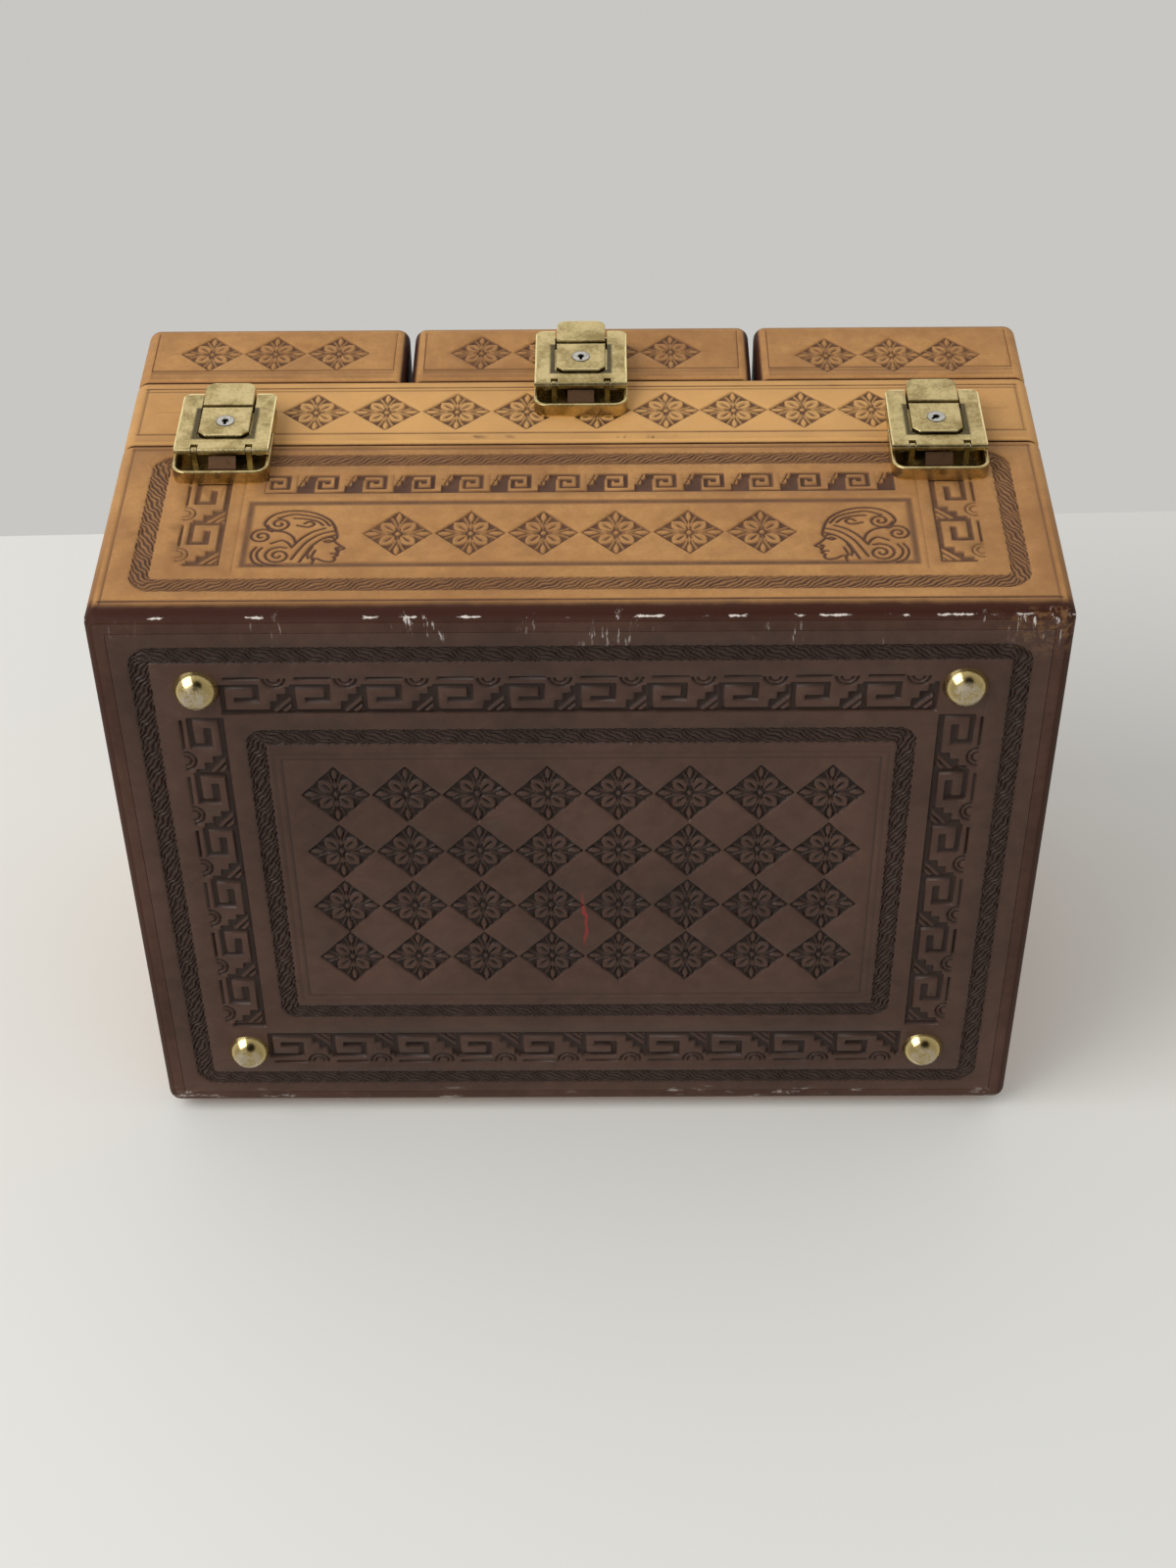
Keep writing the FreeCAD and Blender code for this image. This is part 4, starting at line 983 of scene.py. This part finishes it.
def tray_lines(along, up, reach):
    """Scored lines along a side of the tray."""
    tooling = Tooling(along, up)
    tooling.line(-reach, 5.4, reach, 5.4)
    tooling.line(-reach, 31.2, reach, 31.2)
    tooling.line(-reach, 29.4, reach, 29.4, 0.7)
    tooling.shade_edges(reach + 4.0, 35.0, 0.3)
    return tooling


def tray_front_tooling(along, up):
    """Front of the tray, up from its bottom."""
    tooling = tray_lines(along, up, 141.0)
    for side in (-1.0, 1.0):
        tooling.line(140.6 * side, 5.4, 140.6 * side, 31.2, 0.8)
    tooling.line(-136.0, 17.6, 136.0, 17.6, 0.4)
    worn = rise(0.3, 0.8, wander(along, up * 4.0, 9.0)) * (up < 3.6) * (np.abs(along + 4.0) < 34.0)
    tooling.dark = np.maximum(tooling.dark, 0.85 * worn)
    tooling.flowers((-85.0, -62.3, -39.7, -17.2, 5.2, 27.3, 49.0, 71.0, 93.2), 17.6, 11.2, 10.6)
    return tooling


def tray_side_tooling(along, up):
    """Left and right side of the tray."""
    tooling = tray_lines(along, up, 104.0)
    tooling.flowers((-22.4, 0.0, 22.4), 17.6, 11.2, 10.6)
    return tooling


def tray_back_tooling(along, up):
    """Back of the tray."""
    return tray_lines(along, up, 141.0)


def lid_side_tooling(along, up, reach, places=(), row=0.0):
    """A side of a lid, with any stamps in a row."""
    tooling = Tooling(along, up)
    for side in (-1.0, 1.0):
        tooling.line((reach - 4.0) * side, 6.2, (reach - 4.0) * side, 29.6, 0.9)
    tooling.line(4.0 - reach, 29.6, reach - 4.0, 29.6, 0.8)
    tooling.line(-reach, 6.2, reach, 6.2)
    tooling.line(-reach, 4.6, reach, 4.6, 0.7)
    if len(places):
        tooling.line(min(places) - 13.0, row, max(places) + 13.0, row, 0.4)
    tooling.flowers(places, row, 10.6, 10.4)
    tooling.shade_edges(reach, 32.8, 0.4)
    return tooling


def lid_top_tooling(along, up, reach_along, reach_up):
    """Top of a lid: a rope band around rows of stamps."""
    tooling = Tooling(along, up)
    tooling.lines(4.0 - reach_along, reach_along - 4.0, 4.0 - reach_up, reach_up - 4.0, 0.8)
    tooling.rope(9.0 - reach_along, reach_along - 9.0, 9.0 - reach_up, reach_up - 9.0)
    columns = int((reach_along - 20.0) / 11.2)
    rows = int((reach_up - 20.0) / 12.2)
    for row in range(rows):
        up_place = (row - (rows - 1) / 2.0) * 24.4
        tooling.flowers((np.arange(columns) - (columns - 1) / 2.0) * 22.4, up_place, 11.0, 12.0)
    return tooling


def bottom_tooling(along, up):
    """Bottom of the case, across it and back from its front edge."""
    tooling = Tooling(along, up, 1.5)
    tooling.rope(-134.0, 134.0, 11.2, 206.0, 4.5)
    tooling.rope(-102.0, 102.0, 43.4, 172.6, 3.0)
    tooling.frets((-106.5, 22.8), (1.0, 0.0), (0.0, 1.0), 213.0, 10, 14.8)
    tooling.frets((-106.5, 195.2), (1.0, 0.0), (0.0, -1.0), 213.0, 10, 15.2)
    for facing in (-1.0, 1.0):
        tooling.frets((121.6 * facing, 39.6), (0.0, 1.0), (-facing, 0.0), 137.0, 6, 14.2)
    tooling.lines(-91.5, 91.5, 55.6, 161.0, 0.7)
    tooling.lines(-93.8, 93.8, 53.4, 163.2, 0.5)
    for row in (70.6, 95.0, 119.4, 143.0):
        tooling.flowers(np.linspace(-76.0, 77.0, 8), row, 11.0, 12.0)
    return tooling


# Leather


def around_case(half_width, half_depth, radius, fine, coarse):
    """Stations around a rounded rectangle: core points, outward normals, sides and places along each side."""
    core_x = half_width - radius
    core_y = half_depth - radius
    corners = np.array(((-core_x, -core_y), (core_x, -core_y), (core_x, core_y), (-core_x, core_y)))
    outward = ((0.0, -1.0), (1.0, 0.0), (0.0, 1.0), (-1.0, 0.0))
    runs = []
    for side in range(4):
        begin = corners[side]
        end = corners[(side + 1) % 4]
        reach = np.hypot(*(end - begin)) / 2.0
        along = steps(-reach, reach, fine if side == 0 else coarse)
        count = len(along)
        core = begin + np.outer((along + reach) / (2.0 * reach), end - begin)
        runs.append((core, np.tile(outward[side], (count, 1)), np.full(count, side), along))
        turn = np.radians(np.linspace(0.0, 90.0, 7)[1:-1]) + math.radians(90.0 * side - 90.0)
        count = len(turn)
        normal = np.column_stack((np.cos(turn), np.sin(turn)))
        past = np.full(count, reach + radius)
        runs.append((np.tile(end, (count, 1)), normal, np.full(count, 4 + side), past))
    runs.append([values[:1] for values in runs[0]])
    return [np.concatenate(values) for values in zip(*runs)]


def arc(centre, radius, begin, end, count):
    """Points on an arc, with its angles in degrees."""
    angles = np.radians(np.linspace(begin, end, count))
    return np.column_stack((centre[0] + radius * np.cos(angles), centre[1] + radius * np.sin(angles)))


def cover_profile(node, foot, radius, turns, inside):
    """Insets and heights of a cover: its foot, the lower edge, the wall, the rim and the inside."""
    look = settings("case_leather")
    low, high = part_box(node)
    bottom = low.z / MM
    top = high.z / MM
    rim = look.rim_radius / MM
    rising = steps(bottom + radius, top - rim, point_step(look.fine_step))
    return np.vstack((
        [(foot, bottom)],
        arc((radius, bottom + radius), radius, 270.0, 180.0, turns)[:-1],
        np.column_stack((np.zeros(len(rising)), rising)),
        arc((rim, top - rim), rim, 180.0, 90.0, 5)[1:],
        inside,
    ))


def sleeve(name, node, profile, tools):
    """A leather cover around four sides: a closed profile of insets and heights, swept and tooled."""
    look = settings("case_leather")
    low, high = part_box(node)
    radius = look.edge_radius / MM
    half_width = (high.x - low.x) / 2.0 / MM
    half_depth = (high.y - low.y) / 2.0 / MM
    middle_y = (high.y + low.y) / 2.0 / MM
    fine = point_step(look.fine_step)
    coarse = point_step(look.coarse_step)
    cores, normals, sides, alongs = around_case(half_width, half_depth, radius, fine, coarse)
    piece, column, row = flat_hide(name, len(cores), len(profile))
    inset = profile[row, 0]
    height = profile[row, 1]
    core = cores[column]
    normal = normals[column]
    outer = core + normal * (radius - inset)[:, None]
    limit = np.column_stack((half_width - inset, half_depth - inset))
    inner = np.clip(core, -limit, limit)
    flat = np.where((inset <= radius)[:, None], outer, inner)
    relief = np.zeros(len(row))
    dark = np.zeros(len(row))
    shown = inset < 0.01
    for side, tool in enumerate(tools):
        where = np.nonzero(shown & (sides[column] == side))[0]
        tooling = tool(alongs[column[where]], height[where] - low.z / MM)
        relief[where] = tooling.height
        dark[where] = tooling.dark
    flat = flat + normal * relief[:, None]
    places = np.column_stack((flat[:, 0], flat[:, 1] + middle_y, height)) * MM
    set_points(piece, places)
    set_attribute(piece, "dark", dark)
    return piece, height - low.z / MM, inset


def flat_sheet(name, node, step):
    """A grid over a node's box with a doubled rim: the piece, each point's x, y and depth in from the edges,
    and whether it belongs to the outer rim."""
    low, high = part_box(node)
    across = np.pad(steps(low.x / MM, high.x / MM, step), 1, mode="edge")
    back = np.pad(steps(low.y / MM, high.y / MM, step), 1, mode="edge")
    piece, column, row = flat_hide(name, len(across), len(back))
    x = across[column]
    y = back[row]
    rim = depth_inside(x, y, across[0], across[-1], back[0], back[-1])
    outer = np.isin(column, (0, len(across) - 1)) | np.isin(row, (0, len(back) - 1))
    return piece, x, y, rim, outer


def close_sheet(piece):
    """Closes the open edge of a sheet with faces that meet in its middle."""
    edit(piece)
    bpy.ops.mesh.select_all(action="DESELECT")
    bpy.ops.mesh.select_mode(type="EDGE")
    bpy.ops.mesh.select_non_manifold()
    bpy.ops.mesh.edge_face_add()
    bpy.ops.mesh.poke()
    settle(piece)


def fold(name, core_x, core_y, profile, step_x, step_y):
    """A sheet folded over a block: the piece, and each point's place on the block's core, its stations past
    the core's edges, its station in the profile and its direction outwards."""
    last = len(profile) - 1
    top_x = steps(-core_x, core_x, step_x)
    top_y = steps(-core_y, core_y, step_y)
    edge = np.arange(last + 1)
    over_x = np.concatenate((edge[:0:-1], np.zeros(len(top_x), int), edge[1:]))
    over_y = np.concatenate((edge[:0:-1], np.zeros(len(top_y), int), edge[1:]))
    core_xs = np.concatenate((np.full(last, -core_x), top_x, np.full(last, core_x)))
    core_ys = np.concatenate((np.full(last, -core_y), top_y, np.full(last, core_y)))
    piece, column, row = flat_hide(name, len(over_x), len(over_y))
    past_x = over_x[column].astype(float)
    past_y = over_y[row].astype(float)
    station = np.maximum(past_x, past_y).astype(int)
    ratio = np.minimum(past_x, past_y) / np.maximum(station, 1)
    turn = np.where(past_x >= past_y, ratio, 2.0 - ratio) * math.pi / 4.0
    along = core_xs[column]
    up = core_ys[row]
    normal_x = np.cos(turn) * np.sign(along)
    normal_y = np.sin(turn) * np.sign(up)
    return piece, along, up, past_x, past_y, station, normal_x, normal_y


class CASE_OT_base_cover(Operator):
    """Wraps the tooled tan leather around the base"""

    bl_idname = "case.base_cover"
    bl_label = "Base cover"

    def execute(self, context):
        look = settings("case_leather")
        low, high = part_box("base_leather")
        thick = look.thickness / MM
        turn = look.turn_under / MM
        bottom = low.z / MM
        inside = [(thick, high.z / MM), (thick, bottom + thick), (turn, bottom + thick), (turn, bottom)]
        profile = cover_profile("base_leather", turn, look.edge_radius / MM, 6, inside)
        tools = (front_tooling, side_tooling, back_tooling, side_tooling)
        piece, height, inset = sleeve("base_cover", "base_leather", profile, tools)
        dye = np.maximum(1.0 - rise(-1.0, 9.0, height), rise(0.05, 0.6, inset) * (height > 20.0))
        set_attribute(piece, "dye", dye)
        set_attribute(piece, "under", rise(0.8, 3.0, inset) * (height < 1.0))
        settle(piece)
        thin_out(piece, MOST_TRIANGLES["base_cover"])
        finish_piece(piece, tan_leather(), "base", "tan_leather", "base_leather")
        return {"FINISHED"}


class CASE_OT_bottom_panel(Operator):
    """Lays the tooled brown leather on the bottom"""

    bl_idname = "case.bottom_panel"
    bl_label = "Bottom panel"

    def execute(self, context):
        look = settings("case_leather")
        low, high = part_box("bottom_leather")
        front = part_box("base_leather")[0].y / MM
        step = point_step(look.fine_step, 1.1)
        piece, x, y, rim, outer = flat_sheet("bottom_panel", "bottom_leather", step)
        tooling = bottom_tooling(x, y - front)
        relief = tooling.height * rise(0.0, 1.0, rim)
        z = np.where(outer, high.z / MM, low.z / MM - relief)
        set_points(piece, np.column_stack((x, y, z)) * MM)
        set_attribute(piece, "dark", tooling.dark)
        close_sheet(piece)
        thin_out(piece, MOST_TRIANGLES["bottom_panel"])
        finish_piece(piece, brown_leather(), "base", "brown_leather", "bottom_leather")
        return {"FINISHED"}


class CASE_OT_tray_cover(Operator):
    """Wraps the tooled tan leather around the tray"""

    bl_idname = "case.tray_cover"
    bl_label = "Tray cover"

    def execute(self, context):
        look = settings("case_leather")
        low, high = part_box("tray_leather")
        thick = look.thickness / MM
        inside = [(thick, high.z / MM), (thick, low.z / MM)]
        profile = cover_profile("tray_leather", thick, look.rim_radius / MM, 5, inside)
        tools = (tray_front_tooling, tray_side_tooling, tray_back_tooling, tray_side_tooling)
        piece, _, inset = sleeve("tray_cover", "tray_leather", profile, tools)
        set_attribute(piece, "dye", rise(0.3, 1.2, inset))
        settle(piece)
        thin_out(piece, MOST_TRIANGLES["tray_cover"])
        finish_piece(piece, bpy.data.materials["tooled_tan_leather"], "tray", "tan_leather", "tray_leather")
        return {"FINISHED"}


class CASE_OT_lid_covers(Operator):
    """Folds the tooled tan leather over the three lids"""

    bl_idname = "case.lid_covers"
    bl_label = "Lid covers"

    rows = {"left": (-21.0, 0.0, 21.0), "centre": (-33.0, -12.0, 9.0, 29.5), "right": (-20.5, 1.0, 20.0)}
    levels = {"left": 16.4, "centre": 16.2, "right": 13.6}

    def profile(self, top, bottom):
        """Stations over the edge, down the side and up the inside: distance out of the core, and height."""
        look = settings("case_leather")
        radius = look.edge_radius / MM
        rim = look.rim_radius / MM
        thick = look.thickness / MM
        falling = steps(bottom + rim, top - radius, point_step(look.fine_step, 1.2))[::-1]
        return np.vstack((
            arc((0.0, top - radius), radius, 90.0, 0.0, 7)[:-1],
            np.column_stack((np.full(len(falling), radius), falling)),
            arc((radius - rim, bottom + rim), rim, 0.0, -90.0, 5)[1:],
            [(radius - thick, bottom), (radius - thick, top - thick)],
        ))

    def cover(self, side):
        """The leather of one lid."""
        look = settings("case_leather")
        node = side + "_lid_leather"
        low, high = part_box(node)
        radius = look.edge_radius / MM
        middle = (low + high) / 2.0 / MM
        half_width = (high.x - low.x) / 2.0 / MM
        half_depth = (high.y - low.y) / 2.0 / MM
        profile = self.profile(high.z / MM, low.z / MM)
        sheet = fold(side + "_lid_cover", half_width - radius, half_depth - radius, profile,
                     point_step(look.fine_step, 1.2), point_step(look.coarse_step, 1.1))
        piece, along, up, past_x, past_y, station, normal_x, normal_y = sheet
        out = profile[station, 0]
        height = profile[station, 1]
        relief = np.zeros(len(along))
        dark = np.zeros(len(along))
        on_top = station == 0
        on_side = (np.abs(out - radius) < 0.01) & (height < high.z / MM - radius - 0.01)
        rise_up = height - low.z / MM
        ends = on_side & (past_x == 0)
        flanks = on_side & (past_y == 0)
        front_sizes = (half_width, self.rows[side], self.levels[side])
        faces = (
            (on_top, along, up, lid_top_tooling, (half_width, half_depth)),
            (ends & (up < 0), along, rise_up, lid_side_tooling, front_sizes),
            (ends & (up > 0), -along, rise_up, lid_side_tooling, (half_width,)),
            (flanks & (along < 0), -up, rise_up, lid_side_tooling, (half_depth,)),
            (flanks & (along > 0), up, rise_up, lid_side_tooling, (half_depth,)),
        )
        for mask, face_along, face_up, tool, sizes in faces:
            where = np.nonzero(mask)[0]
            tooling = tool(face_along[where], face_up[where], *sizes)
            relief[where] = tooling.height
            dark[where] = tooling.dark
        reach = (out + np.where(on_side, relief, 0.0)) * (station > 0)
        x = along + normal_x * reach
        y = up + normal_y * reach
        z = height + np.where(on_top, relief, 0.0)
        set_points(piece, np.column_stack((x + middle.x, y + middle.y, z)) * MM)
        # Painted shade: the rounded edge around the top of each lid is set to a darkness of 0.42.
        dark = np.where((station > 0) & (height > high.z / MM - radius) & (out < radius + 0.1), 0.42, dark)
        set_attribute(piece, "dark", dark)
        # Painted shade: on the sides of a lid that face a neighbour lid the leather turns edge brown,
        # standing in for the shade in the gap between the lids; the lower rim takes the dyed edge brown.
        gap_shade = np.zeros(len(along))
        for neighbour, toward in (("left", -x), ("right", x)):
            if side != neighbour:
                gap_shade = np.maximum(gap_shade, rise(half_width - 2.6, half_width - 0.8, toward))
        lower_rim = 1.0 - rise(radius - 1.2, radius - 0.3, out + 10.0 * (rise_up > 4.0))
        set_attribute(piece, "dye", np.maximum(gap_shade, lower_rim))
        close_sheet(piece)
        thin_out(piece, MOST_TRIANGLES["lid_cover"])
        finish_piece(piece, bpy.data.materials["tooled_tan_leather"], side + "_lid", "tan_leather", node)

    def execute(self, context):
        for side in SIDES:
            self.cover(side)
        return {"FINISHED"}


# Linings, metal, wood and the stage


class CASE_OT_linings(Operator):
    """Lines the base, the tray and the lids with velvet"""

    bl_idname = "case.linings"
    bl_label = "Linings"

    # Distances between points, the height of the padding and the quilting's seams and height, in millimetres
    floor_step = 2.0
    wall_step = 3.0
    quilt_step = 1.6
    padding = 0.9
    seams = 26.0
    quilting = 0.85

    def tub(self, name, node, body, opens_up, pile):
        """A lined hollow: cloth over a padded floor, up the walls, over a round rim and down behind them."""
        look = settings("case_inside")
        low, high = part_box(node)
        thick = look.lining / MM
        outer = look.lining_corner / MM
        inner = outer - thick
        middle = (low + high) / 2.0 / MM
        core = (high - low) / 2.0 / MM - Vector((outer, outer, 0.0))
        brim = (high.z - low.z) / MM - thick / 2.0
        rising = steps(outer, brim, self.wall_step)
        profile = np.vstack((
            arc((0.0, outer), inner, 270.0, 360.0, 5)[:-1],
            np.column_stack((np.full(len(rising), inner), rising)),
            arc((inner + thick / 2.0, brim), thick / 2.0, 180.0, 0.0, 7)[1:-1],
            np.column_stack((np.full(len(rising), outer), rising[::-1])),
            arc((0.0, outer), outer, 0.0, -90.0, 5)[1:],
        ))
        sheet = fold(name, core.x, core.y, profile, self.floor_step, self.floor_step)
        piece, along, up, _, _, station, normal_x, normal_y = sheet
        out = profile[station, 0]
        crown = (1.0 - (along / core.x) ** 4) * (1.0 - (up / core.y) ** 4) * (station == 0)
        height = profile[station, 1] + crown * (self.padding + 0.25 * wander(along, up, 37.0))
        x = along + normal_x * out + middle.x
        y = up + normal_y * out + middle.y
        z = low.z / MM + height if opens_up else high.z / MM - height
        set_points(piece, np.column_stack((x, y, z)) * MM)
        close_sheet(piece)
        finish_piece(piece, pile, body, "velvet", node)

    def quilt(self, pile):
        """The quilted cloth under the tray."""
        look = settings("case_inside")
        low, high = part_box("tray_under_lining")
        piece, x, y, rim, outer = flat_sheet("tray_under_quilt", "tray_under_lining", self.quilt_step)
        first = np.abs(np.sin(math.pi * (x + y) / self.seams))
        second = np.abs(np.sin(math.pi * (x - y) / self.seams))
        pillow = np.sqrt(np.minimum(first, second)) * rise(0.0, 5.0, rim)
        seam = (low.z + look.lining * 0.75) / MM
        z = np.where(outer, high.z / MM, seam - self.quilting * pillow)
        set_points(piece, np.column_stack((x, y, z)) * MM)
        close_sheet(piece)
        finish_piece(piece, pile, "tray", "velvet", "tray_under_lining")

    def execute(self, context):
        pile = velvet()
        self.tub("base_velvet", "base_lining", "base", True, pile)
        self.quilt(pile)
        for side in SIDES:
            self.tub(side + "_tray_velvet", side + "_tray_lining", "tray", True, pile)
            self.tub(side + "_lid_velvet", side + "_lid_lining", side + "_lid", False, pile)
        return {"FINISHED"}


def paint(material, *nodes):
    """Gives a material to nodes that keep their own shape."""
    for node in nodes:
        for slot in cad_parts[node].material_slots:
            slot.material = material


class CASE_OT_latches(Operator):
    """Gives the latches their toned brass and steel"""

    bl_idname = "case.latches"
    bl_label = "Latches"

    brass_parts = {"hasp": 0.2, "key_button": 0.16, "strike": 0.24, "lock_pan": 0.16}

    def execute(self, context):
        look = settings("case_metal")
        steel = plain_metal("pin_steel", look.steel, 0.3)
        spring = plain_metal("spring_steel", look.brown_steel, 0.5)
        rivets = plain_metal("rivet_brass", look.antique, 0.35)
        for side in SIDES:
            for part, roughness in self.brass_parts.items():
                node = f"{side}_{part}"
                around = side + "_key_button" if part == "hasp" else None
                brass = toned_metal(node + "_brass", node, look.antique, look.antique_dark, roughness, around)
                paint(brass, node)
            paint(plug_steel(side), side + "_key_plug")
            paint(steel, side + "_hasp_pin")
            paint(spring, side + "_hasp_spring")
        paint(rivets, "base_latch_rivets", "tray_latch_rivets", "centre_lid_latch_rivets")
        return {"FINISHED"}


class CASE_OT_hinges(Operator):
    """Gives the hinges their toned brass and the screws and pins their steel"""

    bl_idname = "case.hinges"
    bl_label = "Hinges"

    def execute(self, context):
        look = settings("case_metal")
        brass = plain_metal("hinge_brass", look.antique, 0.4)
        steel = plain_metal("hinge_steel", look.steel, 0.3)
        paint(brass, "main_lower_leaves", "main_upper_leaves", "lid_lower_leaves")
        paint(steel, "main_hinge_pins", "lid_hinge_pins", "base_hinge_screws", "tray_hinge_screws")
        for side in SIDES:
            paint(brass, side + "_lid_upper_leaves")
            paint(steel, side + "_lid_hinge_screws")
        return {"FINISHED"}


class CASE_OT_studs(Operator):
    """Gives the foot studs their polished brass"""

    bl_idname = "case.studs"
    bl_label = "Foot studs"

    def execute(self, context):
        paint(stud_brass(), "foot_studs")
        return {"FINISHED"}


class CASE_OT_woodwork(Operator):
    """Gives the wooden boxes their grain"""

    bl_idname = "case.woodwork"
    bl_label = "Woodwork"

    def execute(self, context):
        paint(wood(), "base_floor", "base_frame", "tray_frame", "tray_floor", "tray_dividers",
              "left_lid_box", "centre_lid_box", "right_lid_box")
        return {"FINISHED"}


class CASE_OT_stage(Operator):
    """Sets the camera, the lights, the table behind the case and the floor under it"""

    bl_idname = "case.stage"
    bl_label = "Stage"

    key_tint = (1.0, 0.985, 0.96)

    def camera(self, look, scene):
        """The camera, low before the case and looking up at its bottom and its front."""
        place = (look.camera_x, look.camera_y, look.camera_z)
        turn = [math.radians(angle) for angle in (look.camera_tilt, look.camera_roll, look.camera_turn)]
        bpy.ops.object.camera_add(location=place, rotation=turn)
        scene.camera = bpy.context.object
        scene.camera.data.sensor_fit = "VERTICAL"
        scene.camera.data.sensor_height = look.sensor
        scene.camera.data.lens = look.camera_lens

    def ground(self, name, place, turn, size, tint):
        """A one-sided ground that only the camera sees, so that it hides no light."""
        start()
        bpy.ops.mesh.primitive_plane_add(size=1.0, location=place, rotation=turn)
        plane = bpy.context.object
        plane.name = name
        plane.scale = (size[0], size[1], 1.0)
        plane.visible_diffuse = False
        plane.visible_glossy = False
        plane.visible_transmission = False
        plane.visible_shadow = False
        plane.data.materials.append(one_sided(name, tint))

    def key_light(self, look):
        """A broad lamp before the case and to its left."""
        place = Vector((look.key_x, look.key_y, look.key_z))
        bpy.ops.object.light_add(type="AREA", location=place)
        key = bpy.context.object
        key.name = "key_light"
        key.rotation_euler = (-place).to_track_quat("-Z", "Y").to_euler()
        key.data.energy = look.key_power
        key.data.size = look.key_size
        key.data.color = self.key_tint

    def room(self, look, scene):
        """Even light, with a plain wall for the camera and a room with a window for the metal to reflect."""
        scene.world = bpy.data.worlds.new("studio")
        finish = Finish(scene.world)
        path = finish.node("ShaderNodeLightPath", {}, {}, "Is Camera Ray")
        outputs = path.socket.node.outputs
        glossy = Term(finish, outputs["Is Glossy Ray"])
        seen = path.most(glossy).most(Term(finish, outputs["Is Transmission Ray"]))
        view = finish.node("ShaderNodeTexCoord", {}, {}, "Generated")
        split = finish.node("ShaderNodeSeparateXYZ", {}, {"Vector": view})
        x, y, z = [Term(finish, socket) for socket in split.socket.node.outputs]
        bright = z.ramp(-0.6, 0.75) * (1.0 - 0.5 * x.ramp(-0.12, 0.5))
        tint = finish.mix(bright, look.dusk, look.window)
        ahead = y * -0.68 + z * -0.7 + x * 0.2
        tint = finish.mix(ahead.ramp(0.86, 0.96), tint, look.doorway)
        tint = finish.mix(glossy, look.wall, tint)
        white = (1.0, 1.0, 1.0, 1.0)
        light = finish.node("ShaderNodeBackground", {}, {"Color": white, "Strength": look.ambient})
        backdrop = finish.node("ShaderNodeBackground", {}, {"Color": tint, "Strength": 1.0})
        both = finish.node("ShaderNodeMixShader", {}, {0: seen, 1: light, 2: backdrop})
        finish.node("ShaderNodeOutputWorld", {}, {"Surface": both})

    def execute(self, context):
        look = settings("case_stage")
        context.scene.view_settings.view_transform = "Standard"
        low, high = CAD_BOX
        start()
        self.camera(look, context.scene)
        height = look.wall_line - look.table_low
        place = (0.0, high.y, look.table_low + height / 2.0)
        upright = (math.radians(90.0), math.radians(look.table_tilt), 0.0)
        self.ground("table", place, upright, (look.table_width, height), look.table)
        level = (0.0, 0.0, 0.0)
        self.ground("floor", (0.0, 0.0, low.z), level, (look.floor_size, look.floor_size), look.table)
        self.key_light(look)
        self.room(look, context.scene)
        return {"FINISHED"}


PIECE_OPERATORS = (
    CASE_OT_stage,
    CASE_OT_base_cover,
    CASE_OT_bottom_panel,
    CASE_OT_tray_cover,
    CASE_OT_lid_covers,
    CASE_OT_linings,
    CASE_OT_latches,
    CASE_OT_hinges,
    CASE_OT_studs,
    CASE_OT_woodwork,
)
SETTINGS = {
    "case_leather": LeatherSettings,
    "case_metal": MetalSettings,
    "case_inside": InsideSettings,
    "case_stage": StageSettings,
}


class CASE_PT_panel(Panel):
    """Lists the pieces of the case"""

    bl_idname = "CASE_PT_panel"
    bl_label = "Jewellery case"
    bl_space_type = "VIEW_3D"
    bl_region_type = "UI"
    bl_category = "Jewellery case"

    def draw(self, context):
        for operator in PIECE_OPERATORS:
            self.layout.operator(operator.bl_idname)
        for group in SETTINGS:
            values = getattr(context.scene, group)
            for name in values.__annotations__:
                self.layout.prop(values, name)


CLASSES = tuple(SETTINGS.values()) + PIECE_OPERATORS + (CASE_PT_panel,)


def register():
    for each in CLASSES:
        bpy.utils.register_class(each)
    for name, group in SETTINGS.items():
        setattr(bpy.types.Scene, name, PointerProperty(type=group))


def unregister():
    for name in SETTINGS:
        delattr(bpy.types.Scene, name)
    for each in reversed(CLASSES):
        bpy.utils.unregister_class(each)


def main():
    register()
    for operator in PIECE_OPERATORS:
        group, name = operator.bl_idname.split(".")
        getattr(getattr(bpy.ops, group), name)()


if __name__ == "__main__":
    main()
